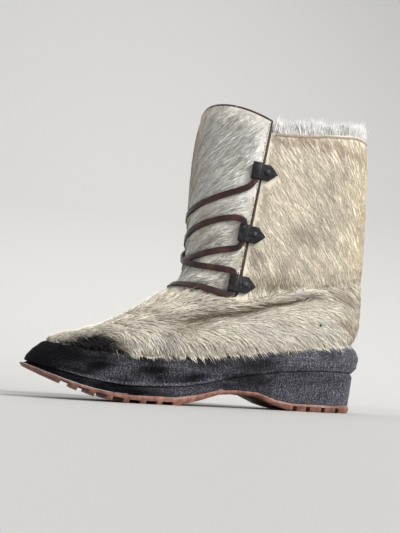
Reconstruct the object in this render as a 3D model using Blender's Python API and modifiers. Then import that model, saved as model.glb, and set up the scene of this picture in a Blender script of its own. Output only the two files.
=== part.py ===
# Apres-ski boot for the left foot, with a hair-on hide shaft, a wide front tongue,
# a wrapped black rand over a heeled midsole, and a moulded tread.
# The toe points along -Y, the outer side of the foot faces +X, and the floor is at Z = 0.
# Lengths are in metres. A station is the distance forward from the back of the heel.

import math
from collections import namedtuple

import bmesh
import bpy
from mathutils import Matrix, Vector

# Driving sizes of the sole and the last
SOLE_LENGTH = 0.285
BALL_WIDTH = 0.100
HEEL_TREAD_END = 0.072
FLAT_BALL_START = 0.158
FLAT_BALL_END = 0.194

# Driving sizes of the upper
WALL = 0.0020
GAP = 0.00035
COLLAR_SIDE = 0.237
COLLAR_BACK = 0.252
ANKLE_SEAM = 0.0935
SEAM_LEAN_END = 0.118
SEAM_PIVOT = 0.080
INSTEP_BREAK = 0.112
SEAM_STEP = 0.0012
RAND_MIDDLE = 0.038
FOOT_INSET = 0.0030
FOOT_ROUNDNESS = 2.3
SHAFT_SQUARENESS = 2.25
SHAFT_BLEND_LOW = 0.048
SHAFT_BLEND_HIGH = 0.116
HALF_COUNT = 26

# Throat opening: its side edge leans back as it rises, and its lower edge crosses the instep
THROAT_TOP = 0.250
THROAT_TOP_STATION = 0.088
THROAT_CORNER = 0.087
THROAT_CORNER_STATION = 0.113
THROAT_CORNER_RADIUS = 0.008
THROAT_FRONT = 0.0935
THROAT_FRONT_STATION = 0.190

# Tongue and its bound edge
TONGUE_TOP = 0.2685
TONGUE_CORNER_DROP = 0.021
TONGUE_THICKNESS = 0.0028
TONGUE_TUCK = 0.0029
TONGUE_TUCK_DEPTH = 0.009
BINDING_RADIUS = 0.0009
BINDING_START = 0.012
TONGUE_HALF_COLUMNS = 8
TONGUE_LEVELS = 17

# Sole layers and tread
INSOLE_THICKNESS = 0.0038
RIB_COUNT = 8
RIB_FIRST = 0.1670
RIB_PITCH = 0.0126
RIB_WIDTH = 0.0042
RIB_DEPTH = 0.0024
RIB_SWEEP = 0.007
POCKET_DEPTH = 0.0042
POCKET_LENGTH = 0.0074
POCKET_WIDTH = 0.0085
HEEL_GROOVE_STATIONS = (0.0245, 0.0385, 0.0520, 0.0635)
HEEL_GROOVE_WIDTH = 0.0036
HEEL_GROOVE_DEPTH = 0.0040
HEEL_GROOVE_SWEEP = 0.006

# Lace loops and lace
LOOP_HEIGHT = 0.0145
LOOP_LEVELS = (("low", 0.0995), ("middle", 0.1430), ("top", 0.1990))
LOOP_REACH = 0.0072
SLEEVE_SETBACK = 0.0010
LACE_WIDTH = 0.0046
LACE_THICKNESS = 0.0015
LACE_LIFT = 0.0006
SLEEVE_INNER = 0.0008
SLEEVE_HOLLOW = 0.0028
SLEEVE_OUTER = 0.0011
SLEEVE_LENGTH = 0.0086
SLEEVE_SIDE = 0.0009
TAB_LENGTH = 0.0125
TAB_THICKNESS = 0.0016
TAB_SHOULDER = 0.42
RIVET_RADIUS = 0.0019
RIVET_HEIGHT = 0.0009

# Collar fringe
FRINGE_CLEARANCE = 0.0012
FRINGE_THICKNESS = 0.0030
FRINGE_DEPTH = 0.020
FRINGE_RISE = 0.006
FRINGE_LOCK = 0.0085
FRINGE_COLUMNS = 52

# Plan of the sole as fractions of its length and of the ball width
Plan = namedtuple("Plan", "reach centre medial lateral")
PLAN = (
    Plan(0.000, 0.000, 0.000, 0.000),
    Plan(0.020, 0.000, 0.186, 0.186),
    Plan(0.050, 0.000, 0.276, 0.276),
    Plan(0.120, 0.000, 0.345, 0.345),
    Plan(0.220, 0.000, 0.348, 0.358),
    Plan(0.350, 0.000, 0.298, 0.390),
    Plan(0.450, -0.005, 0.292, 0.436),
    Plan(0.550, -0.012, 0.356, 0.492),
    Plan(0.650, -0.022, 0.438, 0.534),
    Plan(0.720, -0.033, 0.467, 0.533),
    Plan(0.800, -0.045, 0.444, 0.475),
    Plan(0.900, -0.060, 0.338, 0.334),
    Plan(0.960, -0.068, 0.226, 0.222),
    Plan(0.985, -0.070, 0.142, 0.142),
    Plan(1.000, -0.070, 0.000, 0.000),
)

# Heights along the foot: underside of the tread, top of the outsole, top of the midsole, top of the rand
Profile = namedtuple("Profile", "station floor plate seat rand")
PROFILE = (
    Profile(0.000, 0.0000, 0.0060, 0.0335, 0.0580),
    Profile(0.035, 0.0000, 0.0060, 0.0335, 0.0535),
    Profile(HEEL_TREAD_END, 0.0000, 0.0062, 0.0305, 0.0485),
    Profile(0.078, 0.0045, 0.0088, 0.0297, 0.0475),
    Profile(0.087, 0.0088, 0.0120, 0.0283, 0.0460),
    Profile(0.100, 0.0112, 0.0142, 0.0262, 0.0440),
    Profile(0.118, 0.0110, 0.0142, 0.0225, 0.0410),
    Profile(0.140, 0.0050, 0.0098, 0.0172, 0.0385),
    Profile(FLAT_BALL_START, 0.0000, 0.0062, 0.0140, 0.0370),
    Profile(FLAT_BALL_END, 0.0000, 0.0060, 0.0125, 0.0355),
    Profile(0.221, 0.0032, 0.0090, 0.0152, 0.0375),
    Profile(0.240, 0.0083, 0.0137, 0.0190, 0.0408),
    Profile(0.262, 0.0160, 0.0205, 0.0248, 0.0450),
    Profile(SOLE_LENGTH, 0.0250, 0.0280, 0.0315, 0.0480),
)

# Ridge of the last seen from the side, from the toe cap up to the front of the shaft
Ridge = namedtuple("Ridge", "station height")
RIDGE = (
    Ridge(0.100, 0.330),
    Ridge(0.130, 0.215),
    Ridge(0.143, 0.150),
    Ridge(0.150, 0.124),
    Ridge(0.154, INSTEP_BREAK),
    Ridge(0.162, 0.1025),
    Ridge(0.172, 0.0945),
    Ridge(0.184, 0.0860),
    Ridge(0.200, 0.0750),
    Ridge(0.221, 0.0635),
    Ridge(0.244, 0.0565),
    Ridge(0.258, 0.0520),
    Ridge(0.2665, 0.0470),
)

# Edges of the layers under the foot: share of the layer's height, stations of its two ends,
# and how much wider it is than the sole's plan on each side
Edge = namedtuple("Edge", "share back front widen")
OUTSOLE_EDGES = (
    Edge(0.00, 0.0016, SOLE_LENGTH - 0.0016, -0.0016),
    Edge(0.35, 0.0004, SOLE_LENGTH - 0.0004, -0.0004),
    Edge(0.70, 0.0000, SOLE_LENGTH, 0.0000),
    Edge(1.00, 0.0006, SOLE_LENGTH - 0.0006, -0.0006),
)
MIDSOLE_EDGES = (
    Edge(0.00, 0.0010, 0.2825, -0.0012),
    Edge(0.35, -0.0005, 0.2800, -0.0008),
    Edge(0.90, -0.0030, 0.2775, -0.0006),
    Edge(1.00, -0.0018, 0.2765, -0.0016),
)
INSOLE_EDGES = (
    Edge(0.00, 0.0030, 0.2700, -0.0068),
    Edge(0.74, 0.0030, 0.2700, -0.0068),
    Edge(1.00, 0.0042, 0.2688, -0.0080),
)
# The upper's own wall behind the rand, then the rand's face from its rolled edge down
LASTING_EDGES = (
    Edge(0.00, 0.0005, 0.2725, -0.0040),
    Edge(0.55, -0.0040, 0.2710, -0.0018),
    Edge(0.97, 0.0000, 0.2660, -0.0034),
)
RAND_EDGES = (
    Edge(1.00, -0.0022, 0.2676, -0.0022),
    Edge(0.90, -0.0062, 0.2705, -0.0004),
    Edge(0.60, -0.0093, 0.2752, 0.0014),
    Edge(0.22, -0.0075, 0.2782, 0.0012),
    Edge(0.03, -0.0036, 0.2775, -0.0006),
)

# Levels of the upper above the rand: follow is how much of the rand's rise and fall the level keeps,
# and lean is its rise per length towards the heel, which is steepest along the ankle seam
Level = namedtuple("Level", "height follow lean back half")
LEVELS = (
    Level(0.0410, 1.00, 0.00, -0.0020, 0.0370),
    Level(0.0455, 0.92, 0.02, -0.0055, 0.0378),
    Level(0.0510, 0.78, 0.05, -0.0080, 0.0386),
    Level(0.0575, 0.60, 0.09, -0.0095, 0.0394),
    Level(0.0655, 0.42, 0.14, -0.0105, 0.0402),
    Level(0.0745, 0.27, 0.20, -0.0110, 0.0408),
    Level(0.0840, 0.14, 0.26, -0.0115, 0.0413),
    Level(ANKLE_SEAM, 0.05, 0.28, -0.0118, 0.0417),
    Level(ANKLE_SEAM + SEAM_STEP, 0.04, 0.28, -0.0118 - SEAM_STEP, 0.0417 + SEAM_STEP),
    Level(0.1050, 0.00, 0.22, -0.0132, 0.0433),
    Level(0.1200, 0.00, 0.10, -0.0135, 0.0441),
    Level(0.1500, 0.00, 0.00, -0.0142, 0.0450),
    Level(0.1850, 0.00, 0.00, -0.0168, 0.0459),
    Level(0.2200, 0.00, 0.00, -0.0190, 0.0468),
    Level(COLLAR_BACK, 0.00, 0.00, -0.0180, 0.0474),
    Level(0.2750, 0.00, 0.00, -0.0165, 0.0478),
)
COLLAR_LEVEL = 14

# Front line of the shaft above the instep break
Front = namedtuple("Front", "height station")
FRONTS = (
    Front(INSTEP_BREAK, 0.1540),
    Front(0.1250, 0.1522),
    Front(0.1600, 0.1520),
    Front(0.2100, 0.1512),
    Front(0.2500, 0.1480),
    Front(0.2750, 0.1440),
)

# Trough across each side of the ankle
CREASE_FRONT_STATION = 0.158
CREASE_FRONT = 0.058
CREASE_BACK_STATION = 0.045
CREASE_BACK = 0.090
CREASE_DEPTH = 0.0026
CREASE_SPREAD = 0.0075

# Lace route: place across the throat, from 1 at the outer sleeves to -1 at the inner ones, height, and lift
LaceStep = namedtuple("LaceStep", "across height lift")
SLEEVE_LIFT = SLEEVE_INNER + (SLEEVE_HOLLOW - LACE_THICKNESS) / 2 - LACE_LIFT + GAP
CROSSING_LIFT = 0.0021
LACE_ROUTE = (
    LaceStep(1.000, 0.2045, SLEEVE_LIFT),
    LaceStep(1.000, 0.1985, SLEEVE_LIFT),
    LaceStep(1.000, 0.1915, SLEEVE_LIFT),
    LaceStep(0.955, 0.1855, SLEEVE_LIFT * 0.5),
    LaceStep(0.800, 0.1805, 0.0),
    LaceStep(0.430, 0.1730, 0.0),
    LaceStep(0.000, 0.1670, 0.0),
    LaceStep(-0.430, 0.1640, 0.0),
    LaceStep(-0.800, 0.1600, 0.0),
    LaceStep(-0.955, 0.1560, SLEEVE_LIFT * 0.5),
    LaceStep(-1.000, 0.1505, SLEEVE_LIFT),
    LaceStep(-1.000, 0.1430, SLEEVE_LIFT),
    LaceStep(-1.000, 0.1355, SLEEVE_LIFT),
    LaceStep(-0.955, 0.1305, SLEEVE_LIFT * 0.5),
    LaceStep(-0.800, 0.1310, 0.0),
    LaceStep(-0.430, 0.1385, 0.0),
    LaceStep(0.000, 0.1460, 0.0),
    LaceStep(0.430, 0.1530, 0.0),
    LaceStep(0.800, 0.1575, 0.0),
    LaceStep(0.955, 0.1560, SLEEVE_LIFT * 0.5),
    LaceStep(1.000, 0.1505, SLEEVE_LIFT),
    LaceStep(1.000, 0.1430, SLEEVE_LIFT),
    LaceStep(1.000, 0.1355, SLEEVE_LIFT),
    LaceStep(0.955, 0.1310, SLEEVE_LIFT * 0.5),
    LaceStep(0.800, 0.1295, 0.0),
    LaceStep(0.430, 0.1260, 0.0),
    LaceStep(0.000, 0.1220, 0.0),
    LaceStep(-0.430, 0.1180, 0.0),
    LaceStep(-0.800, 0.1145, 0.0),
    LaceStep(-0.955, 0.1115, SLEEVE_LIFT * 0.5),
    LaceStep(-1.000, 0.1065, SLEEVE_LIFT + 0.0008),
    LaceStep(-1.000, 0.0995, SLEEVE_LIFT),
    LaceStep(-1.000, 0.0930, SLEEVE_LIFT),
    LaceStep(-0.945, 0.0905, SLEEVE_LIFT * 0.6),
    LaceStep(-0.760, 0.0945, 0.0004),
    LaceStep(-0.430, 0.0985, 0.0002),
    LaceStep(0.000, 0.1005, 0.0),
    LaceStep(0.430, 0.0985, 0.0002),
    LaceStep(0.760, 0.0945, 0.0004),
    LaceStep(0.945, 0.0905, SLEEVE_LIFT * 0.6),
    LaceStep(1.000, 0.0930, SLEEVE_LIFT),
    LaceStep(1.000, 0.0995, SLEEVE_LIFT),
    LaceStep(1.000, 0.1065, SLEEVE_LIFT + 0.0007),
    LaceStep(0.955, 0.1110, SLEEVE_LIFT * 0.5),
    LaceStep(0.800, 0.1130, 0.0),
    LaceStep(0.430, 0.1170, 0.0006),
    LaceStep(0.195, 0.1205, CROSSING_LIFT),
    LaceStep(0.020, 0.1250, CROSSING_LIFT),
    LaceStep(-0.175, 0.1310, CROSSING_LIFT),
    LaceStep(-0.350, 0.1375, CROSSING_LIFT),
    LaceStep(-0.500, 0.1440, CROSSING_LIFT),
    LaceStep(-0.650, 0.1520, CROSSING_LIFT),
    LaceStep(-0.780, 0.1600, CROSSING_LIFT),
    LaceStep(-0.885, 0.1690, CROSSING_LIFT),
    LaceStep(-0.965, 0.1785, SLEEVE_LIFT * 0.7),
    LaceStep(-1.000, 0.1880, SLEEVE_LIFT),
    LaceStep(-1.000, 0.1985, SLEEVE_LIFT),
    LaceStep(-1.000, 0.2045, SLEEVE_LIFT),
)
LACE_SAMPLES_PER_STEP = 3

MEDIAL = -1
LATERAL = 1


# Interpolation through a table's named columns, without overshoot

def slopes_of(xs, ys):
    steps = [(ys[i + 1] - ys[i]) / (xs[i + 1] - xs[i]) for i in range(len(xs) - 1)]
    slopes = [steps[0]]
    for before, after in zip(steps, steps[1:]):
        slopes.append(0.0 if before * after <= 0 else 2 * before * after / (before + after))
    slopes.append(steps[-1])
    return slopes


def smooth_curve(xs, ys):
    slopes = slopes_of(xs, ys)

    def value(x):
        x = min(max(x, xs[0]), xs[-1])
        i = max(k for k in range(len(xs) - 1) if xs[k] <= x)
        span = xs[i + 1] - xs[i]
        u = (x - xs[i]) / span
        rise = u * u * (3 - 2 * u)
        lead = u * (1 - u) * (1 - u)
        trail = u * u * (1 - u)
        return ys[i] * (1 - rise) + ys[i + 1] * rise + span * (slopes[i] * lead - slopes[i + 1] * trail)

    return value


def column(rows, key, name):
    return smooth_curve([getattr(row, key) for row in rows], [getattr(row, name) for row in rows])


def turn_of(reach):
    # Angle that spaces points closely at both ends of an outline
    return math.acos(1 - 2 * min(max(reach, 0.0), 1.0))


def plan_column(name):
    return smooth_curve([turn_of(row.reach) for row in PLAN], [getattr(row, name) for row in PLAN])


plan_centre = plan_column("centre")
plan_half = {MEDIAL: plan_column("medial"), LATERAL: plan_column("lateral")}
floor_at = column(PROFILE, "station", "floor")
plate_at = column(PROFILE, "station", "plate")
seat_at = column(PROFILE, "station", "seat")
rand_at = column(PROFILE, "station", "rand")
ridge_at = column(RIDGE, "station", "height")
front_at = column(FRONTS, "height", "station")
level_follow = column(LEVELS, "height", "follow")
level_lean = column(LEVELS, "height", "lean")
level_back = column(LEVELS, "height", "back")
level_half = column(LEVELS, "height", "half")


def ease(low, high, x):
    u = min(max((x - low) / (high - low), 0.0), 1.0)
    return u * u * (3 - 2 * u)


def mix(a, b, share):
    return a + (b - a) * share


# Rings of points around the foot

def turns():
    # One lap of a ring: (angle, side), from the heel along the outer side to the toe and back
    outward = [(math.pi * i / HALF_COUNT, LATERAL) for i in range(HALF_COUNT + 1)]
    homeward = [(math.pi * i / HALF_COUNT, MEDIAL) for i in range(HALF_COUNT - 1, 0, -1)]
    return outward + homeward


def outline_x(turn, side, widen):
    half = plan_half[side](turn) * BALL_WIDTH
    full_width_from = 0.028
    half += widen * min(1.0, half / full_width_from)
    return plan_centre(turn) * BALL_WIDTH + side * half


def outline_ring(back, front, widen, height_at):
    ring = []
    for turn, side in turns():
        station = mix(back, front, (1 - math.cos(turn)) / 2)
        ring.append(Vector((outline_x(turn, side, widen), -station, height_at(station))))
    return ring


def edge_ring(edge, low_at, high_at, outward=0.0):
    def height_at(station):
        return mix(low_at(station), high_at(station), edge.share)

    return outline_ring(edge.back - outward, edge.front + outward, edge.widen + outward, height_at)


def above_plate(station):
    return plate_at(station) + GAP


def above_seat(station):
    return seat_at(station) + GAP


def insole_top(station):
    return above_seat(station) + INSOLE_THICKNESS


# Outer surface of the upper above the rand

def level_height(height, station):
    lean = level_lean(height) * (SEAM_PIVOT - min(station, SEAM_LEAN_END))
    return height + level_follow(height) * (rand_at(station) - RAND_MIDDLE) + lean


def level_front(height):
    if level_height(height, SEAM_LEAN_END) >= INSTEP_BREAK:
        return front_at(level_height(height, SEAM_LEAN_END))
    low = RIDGE[4].station
    high = RIDGE[-1].station
    for _ in range(40):
        middle = (low + high) / 2
        if ridge_at(middle) > level_height(height, middle):
            low = middle
        else:
            high = middle
    return low


def crease_at(station, z):
    share = (station - CREASE_BACK_STATION) / (CREASE_FRONT_STATION - CREASE_BACK_STATION)
    line = mix(CREASE_BACK, CREASE_FRONT, share)
    along = ease(-0.25, 0.2, share) * (1 - ease(0.85, 1.15, share))
    return CREASE_DEPTH * along * math.exp(-(((z - line) / CREASE_SPREAD) ** 2))


def foot_half(station, z, back, side):
    reach = (station - back) / (RIDGE[-1].station - back)
    half = plan_half[side](turn_of(reach)) * BALL_WIDTH - FOOT_INSET
    rand = rand_at(station)
    rise = min(max((z - rand) / (ridge_at(station) - rand), 0.0), 1.0)
    return max(half, 0.0) * math.sqrt(1 - rise ** FOOT_ROUNDNESS)


def surface_point(height, turn, side, rise_to=None):
    # Point of the outer surface on a level, at an angle around it
    back = level_back(height)
    front = level_front(height)
    station = mix(back, front, (1 - math.cos(turn)) / 2)
    z = level_height(height, station)
    reach = (station - back) / (front - back)
    foot = foot_half(station, z, back, side)
    sweep = max(1 - abs(2 * reach - 1) ** SHAFT_SQUARENESS, 0.0)
    shaft = level_half(height) * sweep ** (1 / SHAFT_SQUARENESS)
    to_shaft = ease(SHAFT_BLEND_LOW, SHAFT_BLEND_HIGH, height)
    centre = plan_centre(turn_of((station - back) / (SOLE_LENGTH - back))) * BALL_WIDTH * (1 - to_shaft)
    half = mix(foot, shaft, to_shaft) - crease_at(station, z) * min(1.0, foot / 0.02)
    if rise_to is not None:
        z = rise_to
    return Vector((centre + side * max(half, 0.0), -station, z))


def throat_station(z):
    share = (z - THROAT_CORNER) / (THROAT_TOP - THROAT_CORNER)
    return mix(THROAT_CORNER_STATION, THROAT_TOP_STATION, share)


def throat_point(across, z, inset=0.0):
    # Point of the surface across the throat, with inset kept clear of both edges
    side = LATERAL if across >= 0 else MEDIAL
    edge = throat_station(z) + inset
    height = z
    for _ in range(12):
        back = level_back(height)
        front = level_front(height)
        edge_turn = turn_of((edge - back) / (front - back))
        point = surface_point(height, mix(math.pi, edge_turn, abs(across)), side)
        height += z - point.z
    return point


def sleeve_across(z):
    # Share of the way from the shaft's front to the throat's edge at which the lace sleeves' axis lies
    step = 0.1
    stride = (throat_point(1.0, z) - throat_point(1.0 - step, z)).length
    return 1 - step * (LOOP_REACH - SLEEVE_SETBACK) / stride


def throat_normal(across, z):
    step = 0.004
    along = throat_point(min(across + 0.02, 1.0), z) - throat_point(max(across - 0.02, -1.0), z)
    up = throat_point(across, z + step) - throat_point(across, z - step)
    return up.cross(along).normalized() * -1


# Meshes, objects and modifiers

def mesh_of(name, points, faces):
    mesh = bpy.data.meshes.new(name)
    mesh.from_pydata(points, [], faces)
    mesh.validate()
    return mesh


def loft_faces(ring_count, size, wrap_rings=False):
    faces = []
    for j in range(ring_count if wrap_rings else ring_count - 1):
        above = (j + 1) % ring_count
        for i in range(size):
            after = (i + 1) % size
            faces.append((j * size + i, j * size + after, above * size + after, above * size + i))
    return faces


def across_faces(first, size, flip):
    # Strips that close a ring by joining its outer and inner side
    half = size // 2
    faces = []
    for i in range(half):
        face = [first + i, first + i + 1, first + (size - i - 1) % size, first + (size - i) % size]
        distinct = [index for k, index in enumerate(face) if index not in face[:k]]
        faces.append(tuple(distinct[::-1] if flip else distinct))
    return faces


def slab_mesh(name, rings):
    # Closed solid whose rings run from its underside to its top
    size = len(rings[0])
    points = [point for ring in rings for point in ring]
    faces = loft_faces(len(rings), size)
    faces += across_faces(0, size, True)
    faces += across_faces((len(rings) - 1) * size, size, False)
    return mesh_of(name, points, faces)


def material_of(name, colour, roughness, metallic=0.0):
    material = bpy.data.materials.new(name)
    material.use_nodes = True
    shader = material.node_tree.nodes["Principled BSDF"]
    shader.inputs["Base Color"].default_value = (*colour, 1.0)
    shader.inputs["Roughness"].default_value = roughness
    shader.inputs["Metallic"].default_value = metallic
    material.diffuse_color = (*colour, 1.0)
    return material


def face_outwards(mesh):
    shape = bmesh.new()
    shape.from_mesh(mesh)
    bmesh.ops.recalc_face_normals(shape, faces=shape.faces)
    shape.to_mesh(mesh)
    shape.free()


def add_part(name, mesh, material):
    face_outwards(mesh)
    part = bpy.data.objects.new(name, mesh)
    mesh.materials.append(material)
    mesh.shade_smooth()
    mesh.set_sharp_from_angle(angle=math.radians(40))
    boot_collection.objects.link(part)
    part.parent = boot
    return part


def add_cutter(name, mesh):
    face_outwards(mesh)
    cutter = bpy.data.objects.new(name, mesh)
    cutter.hide_render = True
    cutter.display_type = "WIRE"
    cutter_collection.objects.link(cutter)
    cutter.parent = boot
    return cutter


def cut(part, cutter):
    modifier = part.modifiers.new("Cut " + cutter.name, "BOOLEAN")
    modifier.operation = "DIFFERENCE"
    modifier.object = cutter


def prism_mesh(name, outline, low, high):
    # Flat outline of (first, second) places raised from low to high along a third direction
    count = len(outline)
    points = [Vector((a, b, low)) for a, b in outline] + [Vector((a, b, high)) for a, b in outline]
    faces = loft_faces(2, count)
    faces.append(tuple(range(count))[::-1])
    faces.append(tuple(range(count, 2 * count)))
    return mesh_of(name, points, faces)


def swept_bar(station, width, depth, half_length, sweep, centre_x=0.0):
    # Curved cutter across the tread: its middle bows towards the toe and its inner end leads
    segments = 6 if half_length > 0.02 else 1
    rings = []
    slope = math.atan2(floor_at(station + 0.004) - floor_at(station - 0.004), 0.008)
    for k in range(segments + 1):
        x = centre_x + half_length * (2 * k / segments - 1)
        share = x / (BALL_WIDTH / 2)
        bow = sweep * (-0.5 * share - 0.45 * share * share)
        corners = ((-width / 2, -0.010), (width / 2, -0.010), (width / 2, depth), (-width / 2, depth))
        ring = []
        for along, up in corners:
            s = station + bow + along * math.cos(slope) - up * math.sin(slope)
            z = floor_at(station) + along * math.sin(slope) + up * math.cos(slope)
            ring.append(Vector((x, -s, z)))
        rings.append(ring)
    points = [point for ring in rings for point in ring]
    faces = loft_faces(len(rings), 4)
    faces.append((3, 2, 1, 0))
    last = 4 * segments
    faces.append((last, last + 1, last + 2, last + 3))
    return points, faces


def joined_bars(name, bars):
    points = []
    faces = []
    for bar_points, bar_faces in bars:
        start = len(points)
        points += bar_points
        faces += [tuple(start + index for index in face) for face in bar_faces]
    return mesh_of(name, points, faces)


# Sole

def make_outsole():
    rings = [edge_ring(edge, floor_at, plate_at) for edge in OUTSOLE_EDGES]
    rubber = material_of("tan_rubber", (0.33, 0.135, 0.075), 0.55)
    outsole = add_part("outsole", slab_mesh("outsole", rings), rubber)
    groove_width = RIB_PITCH - RIB_WIDTH
    grooves = []
    pockets = []
    for k in range(RIB_COUNT):
        station = RIB_FIRST + RIB_PITCH * (k + 0.5)
        if k < RIB_COUNT - 1:
            grooves.append(swept_bar(station, groove_width, RIB_DEPTH, 0.07, RIB_SWEEP))
        for place in range(-2, 3):
            x = place * 0.0185 + (0.0046 if k % 2 else -0.0046)
            inside = outline_x(turn_of(station / SOLE_LENGTH), MEDIAL, -0.010)
            outside = outline_x(turn_of(station / SOLE_LENGTH), LATERAL, -0.010)
            if k < RIB_COUNT - 1 and inside < x < outside:
                pockets.append(swept_bar(station, POCKET_LENGTH, POCKET_DEPTH, POCKET_WIDTH / 2, RIB_SWEEP, x))
    heel = [
        swept_bar(station, HEEL_GROOVE_WIDTH, HEEL_GROOVE_DEPTH, 0.06, HEEL_GROOVE_SWEEP)
        for station in HEEL_GROOVE_STATIONS
    ]
    cut(outsole, add_cutter("tread_groove_cutter", joined_bars("tread_groove_cutter", grooves)))
    cut(outsole, add_cutter("tread_pocket_cutter", joined_bars("tread_pocket_cutter", pockets)))
    cut(outsole, add_cutter("heel_groove_cutter", joined_bars("heel_groove_cutter", heel)))


def make_midsole():
    rings = [edge_ring(edge, above_plate, seat_at) for edge in MIDSOLE_EDGES]
    black = material_of("black_midsole", (0.022, 0.022, 0.025), 0.72)
    add_part("midsole", slab_mesh("midsole", rings), black)


def make_rand():
    # Wrapped strip around the lasted wall: up its inner face, over the rolled edge, down its outer face
    inner = [edge_ring(edge, above_seat, rand_at, GAP) for edge in LASTING_EDGES]
    outer = [edge_ring(edge, above_seat, rand_at) for edge in RAND_EDGES]
    rings = inner + outer
    size = len(rings[0])
    points = [point for ring in rings for point in ring]
    black = material_of("black_rand", (0.028, 0.028, 0.032), 0.68)
    add_part("rand", mesh_of("rand", points, loft_faces(len(rings), size, True)), black)


def make_insole():
    rings = [edge_ring(edge, above_seat, insole_top) for edge in INSOLE_EDGES]
    felt = material_of("felt", (0.62, 0.56, 0.46), 0.95)
    add_part("insole", slab_mesh("insole", rings), felt)


# Upper

def collar_height(turn):
    return mix(COLLAR_BACK, COLLAR_SIDE, ease(0.15, 0.55, turn / math.pi))


def upper_rings():
    rings = [edge_ring(edge, above_seat, rand_at) for edge in LASTING_EDGES]
    for number, level in enumerate(LEVELS[:COLLAR_LEVEL + 1]):
        ring = []
        for turn, side in turns():
            top = collar_height(turn) if number == COLLAR_LEVEL else None
            height = top if top else level.height
            ring.append(surface_point(height, turn, side, top))
        rings.append(ring)
    return rings


def throat_cutter():
    # Outline seen from the side, as (place along Y, height)
    outline = []
    corner = Vector((THROAT_CORNER_STATION, THROAT_CORNER))
    up = Vector((THROAT_TOP_STATION - THROAT_CORNER_STATION, THROAT_TOP - THROAT_CORNER)).normalized()
    ahead = Vector((THROAT_FRONT_STATION - THROAT_CORNER_STATION, THROAT_FRONT - THROAT_CORNER)).normalized()
    for k in range(5):
        share = k / 4
        reach_up = THROAT_CORNER_RADIUS * (1 - share) ** 2
        reach_ahead = THROAT_CORNER_RADIUS * share ** 2
        outline.append(corner + up * reach_up + ahead * reach_ahead)
    high = 0.32
    outline.append(corner + ahead * 0.10)
    outline.append(Vector((outline[-1].x, high)))
    outline.append(corner + up * (high - THROAT_CORNER) / up.y)
    mesh = prism_mesh("throat_cutter", [(-p.x, p.y) for p in outline], -0.09, 0.09)
    # The prism's three directions are Y, Z and X in turn
    mesh.transform(Matrix(((0, 0, 1, 0), (1, 0, 0, 0), (0, 1, 0, 0), (0, 0, 0, 1))))
    return add_cutter("throat_cutter", mesh)


def make_upper():
    rings = upper_rings()
    size = len(rings[0])
    points = [point for ring in rings for point in ring]
    hide = material_of("cream_hide", (0.66, 0.60, 0.49), 0.8)
    upper = add_part("upper", mesh_of("upper", points, loft_faces(len(rings), size)), hide)
    shell = upper.modifiers.new("Hide thickness", "SOLIDIFY")
    shell.thickness = WALL
    shell.offset = -1.0
    shell.use_even_offset = True
    shell.thickness_clamp = 1.0
    cut(upper, throat_cutter())


# Tongue

def tongue_depth(z):
    # How far the tongue lies under the surface: tucked below the vamp's edge, level above it
    return mix(TONGUE_TUCK, 0.0, ease(THROAT_FRONT + 0.001, THROAT_FRONT + 0.012, z))


def tongue_top(across):
    return TONGUE_TOP - TONGUE_CORNER_DROP * abs(across) ** 2.4


def tongue_bottom(across):
    return mix(THROAT_FRONT - 0.003, THROAT_CORNER, abs(across)) - TONGUE_TUCK_DEPTH


def tongue_layer(depth_more):
    inset = 2 * BINDING_RADIUS + 2 * GAP
    layer = []
    for j in range(TONGUE_LEVELS):
        share = (j / (TONGUE_LEVELS - 1)) ** 1.15
        row = []
        for k in range(-TONGUE_HALF_COLUMNS, TONGUE_HALF_COLUMNS + 1):
            across = k / TONGUE_HALF_COLUMNS
            z = mix(tongue_bottom(across), tongue_top(across), share)
            normal = throat_normal(across, z)
            row.append(throat_point(across, z, inset) - normal * (tongue_depth(z) + depth_more))
        layer.append(row)
    return layer


def make_tongue():
    outer = tongue_layer(0.0)
    inner = tongue_layer(TONGUE_THICKNESS)
    columns = 2 * TONGUE_HALF_COLUMNS + 1
    # Each ring of the loft runs along the outer layer and back along the inner one
    points = [point for j in range(TONGUE_LEVELS) for point in outer[j] + inner[j][::-1]]
    faces = loft_faces(TONGUE_LEVELS, 2 * columns)
    for first in (0, (TONGUE_LEVELS - 1) * 2 * columns):
        for i in range(columns - 1):
            opposite = 2 * columns - 1 - i
            faces.append((first + i, first + i + 1, first + opposite - 1, first + opposite))
    silky = material_of("silky_hide", (0.60, 0.56, 0.49), 0.55)
    add_part("tongue", mesh_of("tongue", points, faces), silky)


def make_binding():
    # Up the outer edge, over the top and down the inner edge
    places = []
    edge_inset = GAP + BINDING_RADIUS
    climb = 16
    low = THROAT_CORNER + BINDING_START
    for k in range(climb + 1):
        z = mix(low, tongue_top(1.0) - 0.004, k / climb)
        places.append((1.0, z, edge_inset))
    over = 26
    for k in range(over + 1):
        across = mix(1.0, -1.0, k / over)
        places.append((across, tongue_top(across) + GAP + BINDING_RADIUS, edge_inset))
    for k in range(climb, -1, -1):
        z = mix(low, tongue_top(1.0) - 0.004, k / climb)
        places.append((-1.0, z, edge_inset))
    points = []
    for across, z, inset in places:
        normal = throat_normal(across, z)
        sunk = TONGUE_THICKNESS * 0.5 + tongue_depth(z)
        points.append(throat_point(across, z, inset) - normal * sunk)
    curve = bpy.data.curves.new("tongue_binding", "CURVE")
    curve.dimensions = "3D"
    curve.bevel_depth = BINDING_RADIUS
    curve.bevel_resolution = 1
    curve.use_fill_caps = True
    spline = curve.splines.new("POLY")
    spline.points.add(len(points) - 1)
    for point, place in zip(spline.points, points):
        point.co = (*place, 1.0)
    brown = material_of("brown_binding", (0.08, 0.045, 0.032), 0.6)
    curve.materials.append(brown)
    binding = bpy.data.objects.new("tongue_binding", curve)
    boot_collection.objects.link(binding)
    binding.parent = boot


# Collar fringe

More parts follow.
